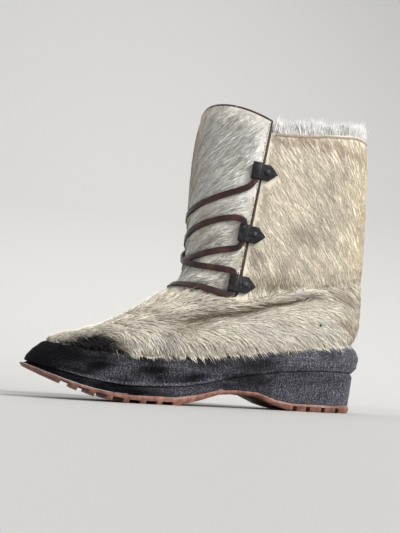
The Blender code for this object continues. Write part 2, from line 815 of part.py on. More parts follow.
def make_fringe():
    # Band of long hair inside the collar; its rim rises in locks whose two rows alternate
    rings = []
    for k in range(FRINGE_COLUMNS + 1):
        share = 2 * k / FRINGE_COLUMNS - 1
        side = LATERAL if share >= 0 else MEDIAL
        edge = turn_of((throat_station(COLLAR_SIDE) - level_back(COLLAR_SIDE))
                       / (level_front(COLLAR_SIDE) - level_back(COLLAR_SIDE)))
        turn = abs(share) * (edge - 0.05)
        collar = collar_height(turn)
        lean = 0.35 * math.sin(7.0 * share)
        outer_lock = FRINGE_LOCK * (0.25 + 0.75 * abs(math.sin(1.9 * k + lean)))
        inner_lock = FRINGE_LOCK * (0.25 + 0.75 * abs(math.sin(1.9 * k + 1.4 - lean)))

        def at(height, z, sunk):
            here = surface_point(height, turn, side, z)
            centre = Vector((0.0, -(level_back(height) + level_front(height)) / 2, z))
            return here + (centre - here).normalized() * sunk

        near = WALL + FRINGE_CLEARANCE
        far = near + FRINGE_THICKNESS
        low = collar - FRINGE_DEPTH
        ring = [
            at(low, low, near),
            at(collar, collar - 0.004, near),
            at(collar, collar + FRINGE_RISE, near - 0.0006),
            at(collar, collar + FRINGE_RISE + outer_lock, near - 0.0010),
            at(collar, collar + FRINGE_RISE + inner_lock, far),
            at(collar, collar + FRINGE_RISE, far + 0.0004),
            at(collar, collar - 0.004, far),
            at(low, low, near + 0.0010),
        ]
        rings.append(ring)
    points = [point for ring in rings for point in ring]
    faces = loft_faces(len(rings), 8)
    faces.append(tuple(range(8))[::-1])
    faces.append(tuple(range(8 * FRINGE_COLUMNS, 8 * FRINGE_COLUMNS + 8)))
    white = material_of("white_hair", (0.78, 0.76, 0.70), 0.85)
    add_part("collar_fringe", mesh_of("collar_fringe", points, faces), white)


# Lace loops and lace

def loop_frame(z, side):
    # Local directions at the throat's edge: forward along the surface, up along the edge, outward
    here = throat_point(side, z)
    up = (throat_point(side, z + 0.006) - throat_point(side, z - 0.006)).normalized()
    ahead = throat_point(side * 0.9, z) - here
    out = ahead.cross(up) * side
    out = out.normalized() * (1 if out.x * side > 0 else -1)
    ahead = up.cross(out).normalized()
    if ahead.y > 0:
        ahead = -ahead
    return here, ahead, up, out


def rounded(length, width, radius, centre, segments=3):
    # Rectangle with round corners as (along, out) places
    places = []
    for quarter in range(4):
        corner = (math.copysign(length / 2 - radius, (1, -1, -1, 1)[quarter]),
                  math.copysign(width / 2 - radius, (1, 1, -1, -1)[quarter]))
        for k in range(segments + 1):
            angle = math.pi / 2 * (quarter + k / segments)
            places.append((centre[0] + corner[0] + radius * math.cos(angle),
                           centre[1] + corner[1] + radius * math.sin(angle)))
    return places


def placed(mesh, here, first, second, third):
    matrix = Matrix((first, second, third)).transposed().to_4x4()
    matrix.translation = here
    mesh.transform(matrix)
    return mesh


def make_loop(name, z, side, leather):
    here, ahead, up, out = loop_frame(z, side)
    depth = SLEEVE_INNER + SLEEVE_HOLLOW + SLEEVE_OUTER
    centre = (LOOP_REACH - SLEEVE_SETBACK, GAP + depth / 2)
    outer = rounded(SLEEVE_LENGTH, depth, 0.0015, centre)
    body = placed(prism_mesh(name, outer, -LOOP_HEIGHT / 2, LOOP_HEIGHT / 2), here, ahead, out, up)
    loop = add_part(name, body, leather)
    # Pointed tab that lies on the shaft behind the sleeve, with its rivet
    tip = -TAB_LENGTH
    shoulder = -TAB_LENGTH * TAB_SHOULDER
    start = centre[0] - SLEEVE_LENGTH / 2 + 0.0012
    half = LOOP_HEIGHT / 2
    tab_outline = ((start, -half), (start, half), (shoulder, half), (tip, 0.0), (shoulder, -half))
    tab = placed(prism_mesh(name + "_tab", tab_outline, GAP + 0.0002, GAP + 0.0002 + TAB_THICKNESS),
                 here, ahead, up, out)
    join(loop, add_cutter(name + "_tab", tab))
    rivet_outline = [(shoulder * 0.75 + RIVET_RADIUS * math.cos(math.tau * k / 8),
                      RIVET_RADIUS * math.sin(math.tau * k / 8)) for k in range(8)]
    rivet = placed(prism_mesh(name + "_rivet", rivet_outline, GAP + 0.0006,
                              GAP + 0.0002 + TAB_THICKNESS + RIVET_HEIGHT), here, ahead, up, out)
    join(loop, add_cutter(name + "_rivet", rivet))
    hollow = rounded(SLEEVE_LENGTH - 2 * SLEEVE_SIDE, SLEEVE_HOLLOW, 0.0012,
                     (centre[0], GAP + SLEEVE_INNER + SLEEVE_HOLLOW / 2))
    bore = placed(prism_mesh(name + "_hollow", hollow, -LOOP_HEIGHT, LOOP_HEIGHT), here, ahead, out, up)
    cut(loop, add_cutter(name + "_hollow", bore))


def join(part, other):
    modifier = part.modifiers.new("Join " + other.name, "BOOLEAN")
    modifier.operation = "UNION"
    modifier.object = other


def make_loops():
    leather = material_of("black_leather", (0.03, 0.032, 0.036), 0.42)
    for side_name, side in (("outer", LATERAL), ("inner", MEDIAL)):
        for level_name, z in LOOP_LEVELS:
            make_loop(f"lace_loop_{side_name}_{level_name}", z, side, leather)


def lace_places():
    # Catmull-Rom curve through the route's own points
    samples = []
    steps = (LACE_ROUTE[0],) + LACE_ROUTE + (LACE_ROUTE[-1],)
    for i in range(1, len(steps) - 2):
        four = [Vector(step) for step in steps[i - 1:i + 3]]
        for k in range(LACE_SAMPLES_PER_STEP):
            u = k / LACE_SAMPLES_PER_STEP
            samples.append(0.5 * (2 * four[1] + (four[2] - four[0]) * u
                                  + (2 * four[0] - 5 * four[1] + 4 * four[2] - four[3]) * u * u
                                  + (3 * four[1] - four[0] - 3 * four[2] + four[3]) * u ** 3))
    samples.append(Vector(LACE_ROUTE[-1]))
    return samples


def make_lace():
    places = lace_places()
    middles = []
    normals = []
    for across, z, lift in places:
        across *= sleeve_across(z)
        normal = throat_normal(across, z)
        rise = LACE_LIFT + lift + LACE_THICKNESS / 2
        middles.append(throat_point(across, z) + normal * rise)
        normals.append(normal)
    points = []
    last = len(middles) - 1
    for i, (middle, normal) in enumerate(zip(middles, normals)):
        along = (middles[min(i + 1, last)] - middles[max(i - 1, 0)]).normalized()
        wide = along.cross(normal).normalized() * LACE_WIDTH / 2
        thick = wide.cross(along).normalized() * LACE_THICKNESS / 2
        points += [middle - wide - thick, middle + wide - thick, middle + wide + thick, middle - wide + thick]
    faces = loft_faces(len(middles), 4)
    faces.append((3, 2, 1, 0))
    faces.append((4 * last, 4 * last + 1, 4 * last + 2, 4 * last + 3))
    thong = material_of("brown_thong", (0.075, 0.035, 0.03), 0.45)
    add_part("lace", mesh_of("lace", points, faces), thong)


# Assembly

def centre_on_floor():
    # Moves the whole boot so that its box is centred over the origin
    bpy.context.view_layer.update()
    graph = bpy.context.evaluated_depsgraph_get()
    low = Vector((math.inf,) * 3)
    high = Vector((-math.inf,) * 3)
    for part in boot_collection.objects:
        if part.type == "EMPTY":
            continue
        shape = part.evaluated_get(graph)
        mesh = shape.to_mesh()
        for vertex in mesh.vertices:
            place = shape.matrix_world @ vertex.co
            low = Vector(map(min, low, place))
            high = Vector(map(max, high, place))
        shape.to_mesh_clear()
    boot.location = (-(low.x + high.x) / 2, -(low.y + high.y) / 2, -low.z)
    bpy.context.view_layer.update()


for leftover in list(bpy.data.objects):
    bpy.data.objects.remove(leftover, do_unlink=True)

boot_collection = bpy.data.collections.new("apres_ski_boot")
cutter_collection = bpy.data.collections.new("cutters")
bpy.context.scene.collection.children.link(boot_collection)
bpy.context.scene.collection.children.link(cutter_collection)
boot = bpy.data.objects.new("boot", None)
boot_collection.objects.link(boot)

make_outsole()
make_midsole()
make_rand()
make_insole()
make_upper()
make_tongue()
make_binding()
make_fringe()
make_loops()
make_lace()
centre_on_floor()
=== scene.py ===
import math

import bpy
import numpy as np
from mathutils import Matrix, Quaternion, Vector, kdtree, noise
from mathutils.bvhtree import BVHTree


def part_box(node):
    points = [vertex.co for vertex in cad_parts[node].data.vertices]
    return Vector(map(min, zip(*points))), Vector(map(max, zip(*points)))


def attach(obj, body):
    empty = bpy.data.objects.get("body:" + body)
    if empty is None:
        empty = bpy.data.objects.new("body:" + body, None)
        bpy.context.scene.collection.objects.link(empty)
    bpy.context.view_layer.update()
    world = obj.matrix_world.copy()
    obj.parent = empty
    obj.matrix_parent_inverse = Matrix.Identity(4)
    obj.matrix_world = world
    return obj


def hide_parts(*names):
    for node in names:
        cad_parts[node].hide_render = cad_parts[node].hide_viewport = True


# Left apres-ski boot in hair-on hide. Toe towards -Y, outer side towards +X, metres.
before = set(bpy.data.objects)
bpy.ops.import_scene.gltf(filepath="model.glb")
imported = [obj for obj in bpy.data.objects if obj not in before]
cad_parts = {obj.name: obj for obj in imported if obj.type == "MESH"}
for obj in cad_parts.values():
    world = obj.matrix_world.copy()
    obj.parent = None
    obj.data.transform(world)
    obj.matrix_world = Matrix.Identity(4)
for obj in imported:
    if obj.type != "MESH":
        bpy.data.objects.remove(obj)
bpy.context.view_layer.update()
mm = 0.001
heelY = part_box("outsole")[1].y  # back of the heel: a station is the distance forward from here


# Small helpers

def selectOnly(piece):
    bpy.ops.object.select_all(action="DESELECT")
    bpy.context.view_layer.objects.active = piece
    piece.select_set(True)


def finishWith(piece, kind, **settings):
    modifier = piece.modifiers.new(kind.title(), kind)
    for key, value in settings.items():
        setattr(modifier, key, value)
    selectOnly(piece)
    bpy.ops.object.modifier_apply(modifier=modifier.name)


def smoothShade(piece, degrees=40):
    selectOnly(piece)
    bpy.ops.object.shade_smooth_by_angle(angle=math.radians(degrees))


def copyOfNode(node, name):
    # The CAD node's own mesh as a new piece, with its loose triangles merged
    piece = bpy.data.objects.new(name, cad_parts[node].data.copy())
    bpy.context.scene.collection.objects.link(piece)
    piece.data.materials.clear()
    selectOnly(piece)
    bpy.ops.mesh.customdata_custom_splitnormals_clear()
    bpy.ops.object.mode_set(mode="EDIT")
    bpy.ops.mesh.select_all(action="SELECT")
    bpy.ops.mesh.remove_doubles(threshold=0.00001)
    bpy.ops.object.mode_set(mode="OBJECT")
    return piece


def pieceFrom(name, points, faces, degrees):
    # New piece from its points and faces, with the faces turned outwards
    mesh = bpy.data.meshes.new(name)
    mesh.from_pydata([tuple(point) for point in points], [], faces)
    piece = bpy.data.objects.new(name, mesh)
    bpy.context.scene.collection.objects.link(piece)
    selectOnly(piece)
    bpy.ops.object.mode_set(mode="EDIT")
    bpy.ops.mesh.select_all(action="SELECT")
    bpy.ops.mesh.normals_make_consistent(inside=False)
    bpy.ops.object.mode_set(mode="OBJECT")
    smoothShade(piece, degrees)
    return piece


def refine(piece, softening=0):
    # Smaller faces on the same form, softened where asked
    finishWith(piece, "SUBSURF", subdivision_type="SIMPLE", levels=2, render_levels=2)
    if softening:
        finishWith(piece, "SMOOTH", factor=0.5, iterations=softening)


def placesOf(piece):
    places = np.empty(len(piece.data.vertices) * 3, np.float32)
    piece.data.vertices.foreach_get("co", places)
    return places.reshape(-1, 3).astype(float)


def normalsOf(piece):
    normals = np.empty(len(piece.data.vertices) * 3, np.float32)
    piece.data.vertices.foreach_get("normal", normals)
    return normals.reshape(-1, 3).astype(float)


def setPlaces(piece, places):
    piece.data.vertices.foreach_set("co", places.astype(np.float32).ravel())
    piece.data.update()


def paint(piece, name, colours):
    # One colour for each point, kept as an attribute that the material reads
    layer = piece.data.color_attributes.new(name, "FLOAT_COLOR", "POINT")
    full = np.ones((len(colours), 4), np.float32)
    full[:, :3] = colours
    layer.data.foreach_set("color", full.ravel())


def softStep(low, high, value):
    share = np.clip((value - low) / (high - low), 0, 1)
    return share * share * (3 - 2 * share)


def noiseAt(places, scale, seed=0.0):
    scale = np.broadcast_to(np.asarray(scale, float), (3,))
    return np.array([noise.noise(Vector((x, y, z))) for x, y, z in places * scale + seed])


def stationsOf(places):
    # Station and height of each place, in mm
    return (heelY - places[:, 1]) / mm, places[:, 2] / mm


def unit(vectors):
    return vectors / np.maximum(np.linalg.norm(vectors, axis=1), 1e-9)[:, None]


def settle(piece, material, slot, *nodes):
    # Takes its material, rides on the one body and stands for its CAD nodes; slot is not used
    piece.data.materials.append(material)
    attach(piece, "root")
    if nodes:
        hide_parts(*nodes)


# Materials

def newMaterial(name, **sockets):
    material = bpy.data.materials.new(name)
    material.use_nodes = True
    shader = material.node_tree.nodes["Principled BSDF"]
    for socket, value in sockets.items():
        shader.inputs[socket.replace("_", " ")].default_value = value
    return material, material.node_tree, shader


def addNode(tree, kind, **values):
    node = tree.nodes.new(kind)
    for key, value in values.items():
        if key in node.inputs.keys():
            node.inputs[key].default_value = value
        else:
            setattr(node, key, value)
    return node


def placeNodes(tree, scale=(1, 1, 1), turn=(0, 0, 0), shift=(0, 0, 0)):
    # Object coordinates through a Mapping node
    coordinates = tree.nodes.new("ShaderNodeTexCoord")
    mapping = tree.nodes.new("ShaderNodeMapping")
    mapping.inputs["Scale"].default_value = scale
    mapping.inputs["Rotation"].default_value = turn
    mapping.inputs["Location"].default_value = shift
    tree.links.new(coordinates.outputs["Object"], mapping.inputs["Vector"])
    return mapping.outputs["Vector"]


def noiseNode(tree, vector, scale, detail=4.0, roughness=0.55):
    node = addNode(tree, "ShaderNodeTexNoise", Scale=scale, Detail=detail, Roughness=roughness)
    tree.links.new(vector, node.inputs["Vector"])
    return node.outputs["Fac"]


def rampNode(tree, source, *stops):
    node = tree.nodes.new("ShaderNodeValToRGB")
    while len(node.color_ramp.elements) < len(stops):
        node.color_ramp.elements.new(0.5)
    for element, (place, colour) in zip(node.color_ramp.elements, stops):
        element.position = place
        element.color = (*colour, 1) if len(colour) == 3 else colour
    tree.links.new(source, node.inputs["Fac"])
    return node.outputs["Color"]


def mixNode(tree, factor, first, second, blend="MIX"):
    node = tree.nodes.new("ShaderNodeMix")
    node.data_type = "RGBA"
    node.blend_type = blend
    for socket, value in ((node.inputs[0], factor), (node.inputs[6], first), (node.inputs[7], second)):
        if isinstance(value, bpy.types.NodeSocket):
            tree.links.new(value, socket)
        elif isinstance(value, tuple):
            socket.default_value = (*value, 1)
        else:
            socket.default_value = value
    return node.outputs[2]


def bumpNode(tree, shader, height, distance, strength=1.0, under=None):
    node = addNode(tree, "ShaderNodeBump", Strength=strength, Distance=distance)
    tree.links.new(height, node.inputs["Height"])
    if under is not None:
        tree.links.new(under, node.inputs["Normal"])
    tree.links.new(node.outputs["Normal"], shader.inputs["Normal"])
    return node.outputs["Normal"]


def grainMaterial(name, grain, stops, relief=None, **sockets):
    # Colours by stops on one noise (scale, detail), relief from another (scale, detail, depth, strength)
    material, tree, shader = newMaterial(name, **sockets)
    vector = placeNodes(tree)
    colour = rampNode(tree, noiseNode(tree, vector, *grain), *stops)
    tree.links.new(colour, shader.inputs["Base Color"])
    if relief:
        scale, detail, depth, strength = relief
        bumpNode(tree, shader, noiseNode(tree, vector, scale, detail), depth, strength)
    return material


def hairMaterial(name, roughness, gloss):
    # Each strand carries its own colour, lighter towards its tip
    material, tree, shader = newMaterial(name, Roughness=roughness, Specular_IOR_Level=gloss)
    colour = addNode(tree, "ShaderNodeAttribute", attribute_name="hairColour")
    streaks = noiseNode(tree, placeNodes(tree), 900.0, 2.0)
    shade = rampNode(tree, streaks, (0.3, (0.86, 0.86, 0.86)), (0.7, (1.06, 1.06, 1.06)))
    mixed = mixNode(tree, 1.0, colour.outputs["Color"], shade, "MULTIPLY")
    tree.links.new(mixed, shader.inputs["Base Color"])
    return material


def coatMaterial(name, turn, roughness):
    # Skin under the hair: the painted coat colours with fine streaks along the lie of the hair
    material, tree, shader = newMaterial(name, Roughness=roughness, Specular_IOR_Level=0.2)
    colour = addNode(tree, "ShaderNodeAttribute", attribute_name="hairColour")
    vector = placeNodes(tree, (1.0, 0.12, 1.0), turn)
    fine = noiseNode(tree, vector, 1400.0, 3.0)
    broad = noiseNode(tree, vector, 260.0, 3.0)
    shade = rampNode(tree, broad, (0.25, (0.80, 0.79, 0.76)), (0.7, (1.05, 1.05, 1.04)))
    mixed = mixNode(tree, 1.0, colour.outputs["Color"], shade, "MULTIPLY")
    tree.links.new(mixed, shader.inputs["Base Color"])
    bumpNode(tree, shader, fine, 0.0006, 0.8)
    return material


# Camera, lights and floor

shot = {
    "place": (0.491, heelY - 0.2285, 0.010),
    "aim": (0.0, -0.006, 0.121),
    "roll": 3.2,
    "lens": 38.5,
}


def makeCamera():
    bpy.ops.object.camera_add(location=shot["place"])
    camera = bpy.context.object
    camera.data.lens = shot["lens"]
    camera.data.clip_start = 0.01
    direction = Vector(shot["aim"]) - Vector(shot["place"])
    camera.rotation_mode = "QUATERNION"
    turn = Quaternion((0, 0, 1), math.radians(shot["roll"]))
    camera.rotation_quaternion = direction.to_track_quat("-Z", "Y") @ turn
    bpy.context.scene.camera = camera


studio = {
    "worldColour": (0.93, 0.95, 1.0),
    "worldStrength": 0.60,
    "sun": {"from": (0.92, 0.94, 0.92), "strength": 2.35, "angle": 25.0, "colour": (1.0, 0.975, 0.94)},
    "window": {"from": (0.95, 0.70, 0.80), "strength": 1.55, "angle": 34.0, "colour": (1.0, 0.98, 0.95)},
    "fill": {"from": (-0.9, -0.5, 0.7), "strength": 0.46, "angle": 60.0, "colour": (0.95, 0.97, 1.0)},
    "floorFlat": 1.6,
    "floorSpread": 5.0,
    "wallHeight": 5.2,
    "floorColour": (0.590, 0.585, 0.576),
    "floorLightShares": (0.80, 1.30),  # painted light: paler towards the window
    "wallShare": 0.80,
}


def makeLights():
    world = bpy.data.worlds.new("pale_room")
    world.use_nodes = True
    sky = world.node_tree.nodes["Background"]
    sky.inputs["Color"].default_value = (*studio["worldColour"], 1)
    sky.inputs["Strength"].default_value = studio["worldStrength"]
    bpy.context.scene.world = world
    bpy.context.scene.view_settings.view_transform = "Standard"
    for name in ("sun", "window", "fill"):
        bpy.ops.object.light_add(type="SUN", location=studio[name]["from"])
        sun = bpy.context.object
        sun.name = f"soft_{name}"
        sun.data.energy = studio[name]["strength"]
        sun.data.angle = math.radians(studio[name]["angle"])
        sun.data.color = studio[name]["colour"]
        way = Vector((0, 0, 0.1)) - Vector(studio[name]["from"])
        sun.rotation_mode = "QUATERNION"
        sun.rotation_quaternion = way.to_track_quat("-Z", "Y")


def makeFloor():
    bpy.ops.mesh.primitive_circle_add(vertices=96, radius=studio["floorFlat"], fill_type="NGON")
    floor = bpy.context.object
    floor.name = "floor"
    bpy.ops.object.mode_set(mode="EDIT")
    bpy.ops.mesh.select_mode(type="EDGE")
    bpy.ops.mesh.select_all(action="SELECT")
    bpy.ops.mesh.region_to_loop()
    spread = studio["floorSpread"] / studio["floorFlat"]
    steps = 14
    for k in range(steps):
        # Each ring goes further out and up, in a quarter round
        before, angle = (math.pi / 2 * (k + i) / steps for i in (0, 1))
        bpy.ops.mesh.extrude_edges_move()
        wider = (1 + (spread - 1) * math.sin(angle)) / (1 + (spread - 1) * math.sin(before))
        rise = studio["wallHeight"] * (math.cos(before) - math.cos(angle))
        bpy.ops.transform.resize(value=(wider, wider, 1), center_override=(0, 0, 0))
        bpy.ops.transform.translate(value=(0, 0, rise))
    bpy.ops.object.mode_set(mode="OBJECT")
    smoothShade(floor, 60)
    floor.visible_shadow = False
    material, tree, shader = newMaterial("pale_floor", Roughness=0.7)
    parts = tree.nodes.new("ShaderNodeSeparateXYZ")
    tree.links.new(placeNodes(tree, (0.1, 0.1, 0.1), shift=(0, 0.5, 0)), parts.inputs["Vector"])
    # Painted light on the floor: darker on the toe side, paler towards the window
    near, far = (tuple(c * share for c in studio["floorColour"]) for share in studio["floorLightShares"])
    along = rampNode(tree, parts.outputs["Y"], (0.35, near), (0.80, far))
    wall = rampNode(tree, parts.outputs["Z"], (0.0, (1, 1, 1)), (0.14, (studio["wallShare"],) * 3))
    tree.links.new(mixNode(tree, 1.0, along, wall, "MULTIPLY"), shader.inputs["Base Color"])
    floor.data.materials.append(material)


makeCamera()
makeLights()
makeFloor()
print("camera and studio ready")


# The lie and colour of the hair, given on the outer side by station and height in mm

hairLie = np.array([
    # station, height, heelward, up, length, lift
    (60, 215, 0.60, -0.80, 9, 0.05),
    (100, 225, 0.52, -0.85, 9, 0.05),
    (20, 215, 0.45, -0.89, 9, 0.06),
    (100, 160, 0.64, -0.77, 9, 0.05),
    (60, 160, 0.62, -0.78, 10, 0.05),
    (10, 160, 0.50, -0.87, 10, 0.07),
    (100, 122, 0.55, -0.83, 10, 0.06),
    (60, 126, 0.58, -0.81, 11, 0.07),
    (10, 128, 0.50, -0.87, 12, 0.09),
    (104, 98, 0.20, -0.98, 10, 0.10),
    (62, 108, 0.25, -0.97, 11, 0.10),
    (20, 112, 0.40, -0.92, 13, 0.12),
    (118, 80, 0.97, 0.22, 20, 0.12),
    (92, 86, 0.98, 0.14, 22, 0.12),
    (62, 95, 0.99, 0.02, 20, 0.12),
    (28, 96, 0.92, -0.30, 16, 0.12),
    (-4, 96, 0.60, -0.80, 14, 0.12),
    (136, 67, 0.95, 0.28, 20, 0.10),
    (100, 75, 0.99, 0.10, 22, 0.08),
    (60, 86, 0.98, -0.10, 20, 0.10),
    (140, 53, 0.78, -0.60, 18, 0.10),
    (110, 60, 0.90, -0.38, 18, 0.10),
    (80, 66, 0.92, -0.36, 18, 0.11),
    (45, 74, 0.90, -0.42, 16, 0.12),
    (8, 78, 0.66, -0.74, 13, 0.12),
    (258, 52, 0.92, -0.14, 6, 0.07),
    (248, 46, 0.88, -0.36, 6, 0.08),
    (236, 42, 0.84, -0.46, 8, 0.09),
    (214, 42, 0.78, -0.58, 10, 0.11),
    (188, 41, 0.48, -0.87, 14, 0.15),
    (160, 43, 0.46, -0.88, 15, 0.16),
    (130, 45, 0.50, -0.86, 15, 0.16),
    (100, 47, 0.56, -0.82, 15, 0.16),
    (70, 50, 0.60, -0.80, 14, 0.16),
    (40, 56, 0.68, -0.72, 13, 0.16),
    (8, 62, 0.55, -0.83, 12, 0.15),
    (226, 60, 0.86, -0.42, 10, 0.08),
    (204, 66, 0.82, -0.40, 13, 0.10),
    (184, 70, 0.86, -0.10, 17, 0.10),
    (184, 84, 0.90, 0.36, 16, 0.12),
    (166, 74, 0.93, 0.30, 19, 0.12),
    (160, 92, 0.86, 0.50, 16, 0.14),
])

lieRules = {
    "upward": 1.6,  # a row reaches less far up than along
    "blend": 4.0,  # mm over which neighbouring rows mix
    "power": 1.6,
    "pastSeam": 0.02,  # weight of a row from the other side of the ankle seam
    "inCrease": (0, 0.965, 0.26),  # lie of the hair along the crease
}

# Colours of the coat and the patches on it
coatColours = {
    "shaft": (0.895, 0.82, 0.685),
    "foot": (0.84, 0.785, 0.68),
    "crease": (0.21, 0.165, 0.105),
    "mottle": 0.16,
    "streaks": (0.38, 0.12),  # on the foot and on the shaft
}
coatPatches = (
    # station, height, reach along, reach up (all mm), colour, strength, side (1 outer, 0 both)
    (229, 43, 20, 8.5, (0.010, 0.008, 0.008), 1.7, 1),
    (242, 41, 11, 4.5, (0.010, 0.008, 0.008), 1.3, 1),
    (206, 38, 12, 3.5, (0.014, 0.012, 0.012), 1.0, 1),
    (246, 55, 14, 5, (0.90, 0.87, 0.78), 0.7, 1),
    (254, 49, 10, 5, (0.50, 0.49, 0.38), 0.6, 1),
    (100, 66, 60, 6.0, (0.93, 0.89, 0.81), 0.6, 0),
    (78, 95, 34, 4.0, (0.94, 0.90, 0.83), 0.7, 0),
    (24, 102, 15, 7, (0.32, 0.25, 0.185), 0.80, 0),
    (16, 80, 12, 7, (0.52, 0.40, 0.27), 0.60, 0),
    (82, 105, 26, 6.5, (0.34, 0.29, 0.21), 0.85, 0),
    (40, 234, 70, 6, (0.50, 0.38, 0.29), 0.60, 0),
    (60, 150, 12, 10, (0.44, 0.39, 0.33), 0.68, 0),
    (76, 121, 9, 8, (0.46, 0.39, 0.33), 0.60, 0),
    (40, 163, 9, 13, (0.48, 0.43, 0.36), 0.50, 0),
    (18, 212, 7, 10, (0.48, 0.41, 0.33), 0.45, 0),
    (36, 197, 8, 14, (0.52, 0.46, 0.38), 0.40, 0),
    # The next two rows are painted shade below the middle and the top lace loop
    (101, 128, 8, 12, (0.34, 0.30, 0.26), 0.65, 0),
    (101, 176, 7, 16, (0.58, 0.56, 0.42), 0.50, 0),
    (-4, 160, 20, 80, (0.84, 0.76, 0.58), 0.6, 0),
    (146, 84, 20, 10, (0.60, 0.56, 0.51), 0.5, 0),
    (174, 50, 7, 10, (0.28, 0.25, 0.27), 0.5, 1),
)


def seamHeight(station):
    # Ankle seam between foot and shaft, in mm: it rises towards the heel
    return 93.5 + 0.28 * (80 - np.minimum(station, 118))


def lieAt(places):
    # Direction, length and lift of the hair, mixed from the nearest rows of the table
    station, height = stationsOf(places)
    above = height > seamHeight(station)
    rowAbove = hairLie[:, 1] > seamHeight(hairLie[:, 0])
    along = station[:, None] - hairLie[None, :, 0]
    upward = lieRules["upward"] * (height[:, None] - hairLie[None, :, 1])
    weight = 1 / (along ** 2 + upward ** 2 + lieRules["blend"] ** 2) ** lieRules["power"]
    weight *= np.where(above[:, None] == rowAbove[None, :], 1.0, lieRules["pastSeam"])
    weight /= weight.sum(1)[:, None]
    mixed = weight @ hairLie[:, 2:]
    direction = np.stack([np.zeros(len(places)), mixed[:, 0], mixed[:, 1]], 1)
    crease = creaseShare(places - np.array((0, 0, 0.003)), 8.0)
    direction += (np.array(lieRules["inCrease"]) - direction) * (0.95 * crease)[:, None]
    flat = creaseShare(places, 3.4)
    return direction, mixed[:, 2] * mm * (1 - 0.30 * flat), mixed[:, 3] * (1 - 0.9 * flat)


def coatAt(places):
    # Colour of the coat at each place
    station, height = stationsOf(places)
    onShaft = softStep(-3, 4, height - seamHeight(station))[:, None]
    colour = (1 - onShaft) * np.array(coatColours["foot"]) + onShaft * np.array(coatColours["shaft"])
    mottle = noiseAt(places, (26, 20, 20), 3.1)[:, None]
    shaftStreaks = streakAt(places, (0.62, -0.78), 2.4)
    footStreaks = streakAt(places, (0.95, -0.30), 6.4)
    streaks = np.where(onShaft > 0.5, shaftStreaks, footStreaks)
    onFootShare, onShaftShare = coatColours["streaks"]
    deep = onShaftShare + (onFootShare - onShaftShare) * (1 - onShaft)
    colour = colour * (1 + coatColours["mottle"] * mottle) * (1 + streaks * deep)
    for at, up, along, rise, patch, strength, side in coatPatches:
        away = ((station - at) / along) ** 2 + ((height - up) / rise) ** 2
        share = np.minimum(1.0, strength * np.exp(-away ** 1.3))
        if side:
            share = share * (places[:, 0] * side > -0.004)
        colour = colour + (np.array(patch) - colour) * share[:, None]
    # Painted shade along the crease, under the roll that hangs over it; wider towards the front
    wide = 3.4 + 2.4 * softStep(70, 160, station)
    shade = (0.95 * creaseShare(places - np.array((0, 0, 0.0012)), wide))[:, None]
    return colour + (np.array(coatColours["crease"]) - colour) * shade


def streakAt(places, lie, seed, scale=190):
    # Noise drawn out along the lie of the hair, given as heelward and up
    along = places[:, 1] * lie[0] + places[:, 2] * lie[1]
    across = places[:, 2] * lie[0] - places[:, 1] * lie[1]
    stretched = np.stack([along * 0.13, across, places[:, 0] * 0.5], 1)
    return (noiseAt(stretched, scale, seed) + 0.6 * noiseAt(stretched, scale * 2.3, seed + 5))[:, None]


def insideOf(places):
    # Point well inside the boot that each place faces away from
    station, height = stationsOf(places)
    shaft = softStep(80, 120, height)
    middle = np.clip(station, 40, 225) * (1 - shaft) + 70 * shaft
    level = 35 * (1 - shaft) + height * shaft
    return np.stack([np.zeros(len(places)), heelY - middle * mm, level * mm], 1)


def outerShare(places, normals):
    return np.einsum("ij,ij->i", normals, unit(places - insideOf(places)))


# Hair as joined strands

pressed = []  # surfaces that hold the hair down: lace, loops and binding
strandCorners = (0.0, 2.094, 4.189)  # turns of a strand's three corners
strandRules = {
    "sunk": 0.0004,  # a root's depth under the skin
    "covered": 0.0011,  # a root nearer than this to what holds the hair down is dropped
    "skinReach": 0.012,  # furthest that a strand is drawn onto the skin or out of the rand
    "pastEdge": 0.0008,  # a strand this far past an edge of the skin keeps going
    "offRand": 0.0005,
    "pressedFlat": 0.0012,  # flat up to this distance from what holds it down
    "pressedFade": 0.004,  # and free again this much further off
    "pressedReach": 0.006,  # how far off it is looked for
    "onTop": 0.0004,  # how far aside a place still counts as on top
    "topReach": 0.003,  # how far under a place the lace is looked for
    "lockReach": 0.006,  # a strand further than this from its leader stays on its own
    "flatness": 0.6,  # thickness over width
    "lengths": (0.55, 0.75),  # least share of the length, and how much chance adds
    "widths": (0.6, 0.8),  # the same for the width
    "probe": 0.0008,  # height over the skin at which it is felt what holds a strand down
    "clearance": 0.0003,  # least height over the skin, past the root
    "curve": 1.2,  # how late a strand rises
    "gatherCurve": 1.4,
    "tipShade": 1.10,
    "topShade": 1.06,
    "shades": (0.004, 0.95),
    "turnedBack": 0.25,  # least cosine between the first and the last part
}


def treeOf(piece):
    mesh = piece.data
    return BVHTree.FromPolygons([v.co for v in mesh.vertices], [p.vertices for p in mesh.polygons])


def clearRoots(root, normal):
    # Drops the roots that a lace, loop or binding covers
    clear = np.ones(len(root), bool)
    for tree in pressed:
        for i, place in enumerate(root):
            clear[i] = clear[i] and tree.find_nearest(Vector(place), strandRules["covered"])[0] is None
    return root[clear], normal[clear]


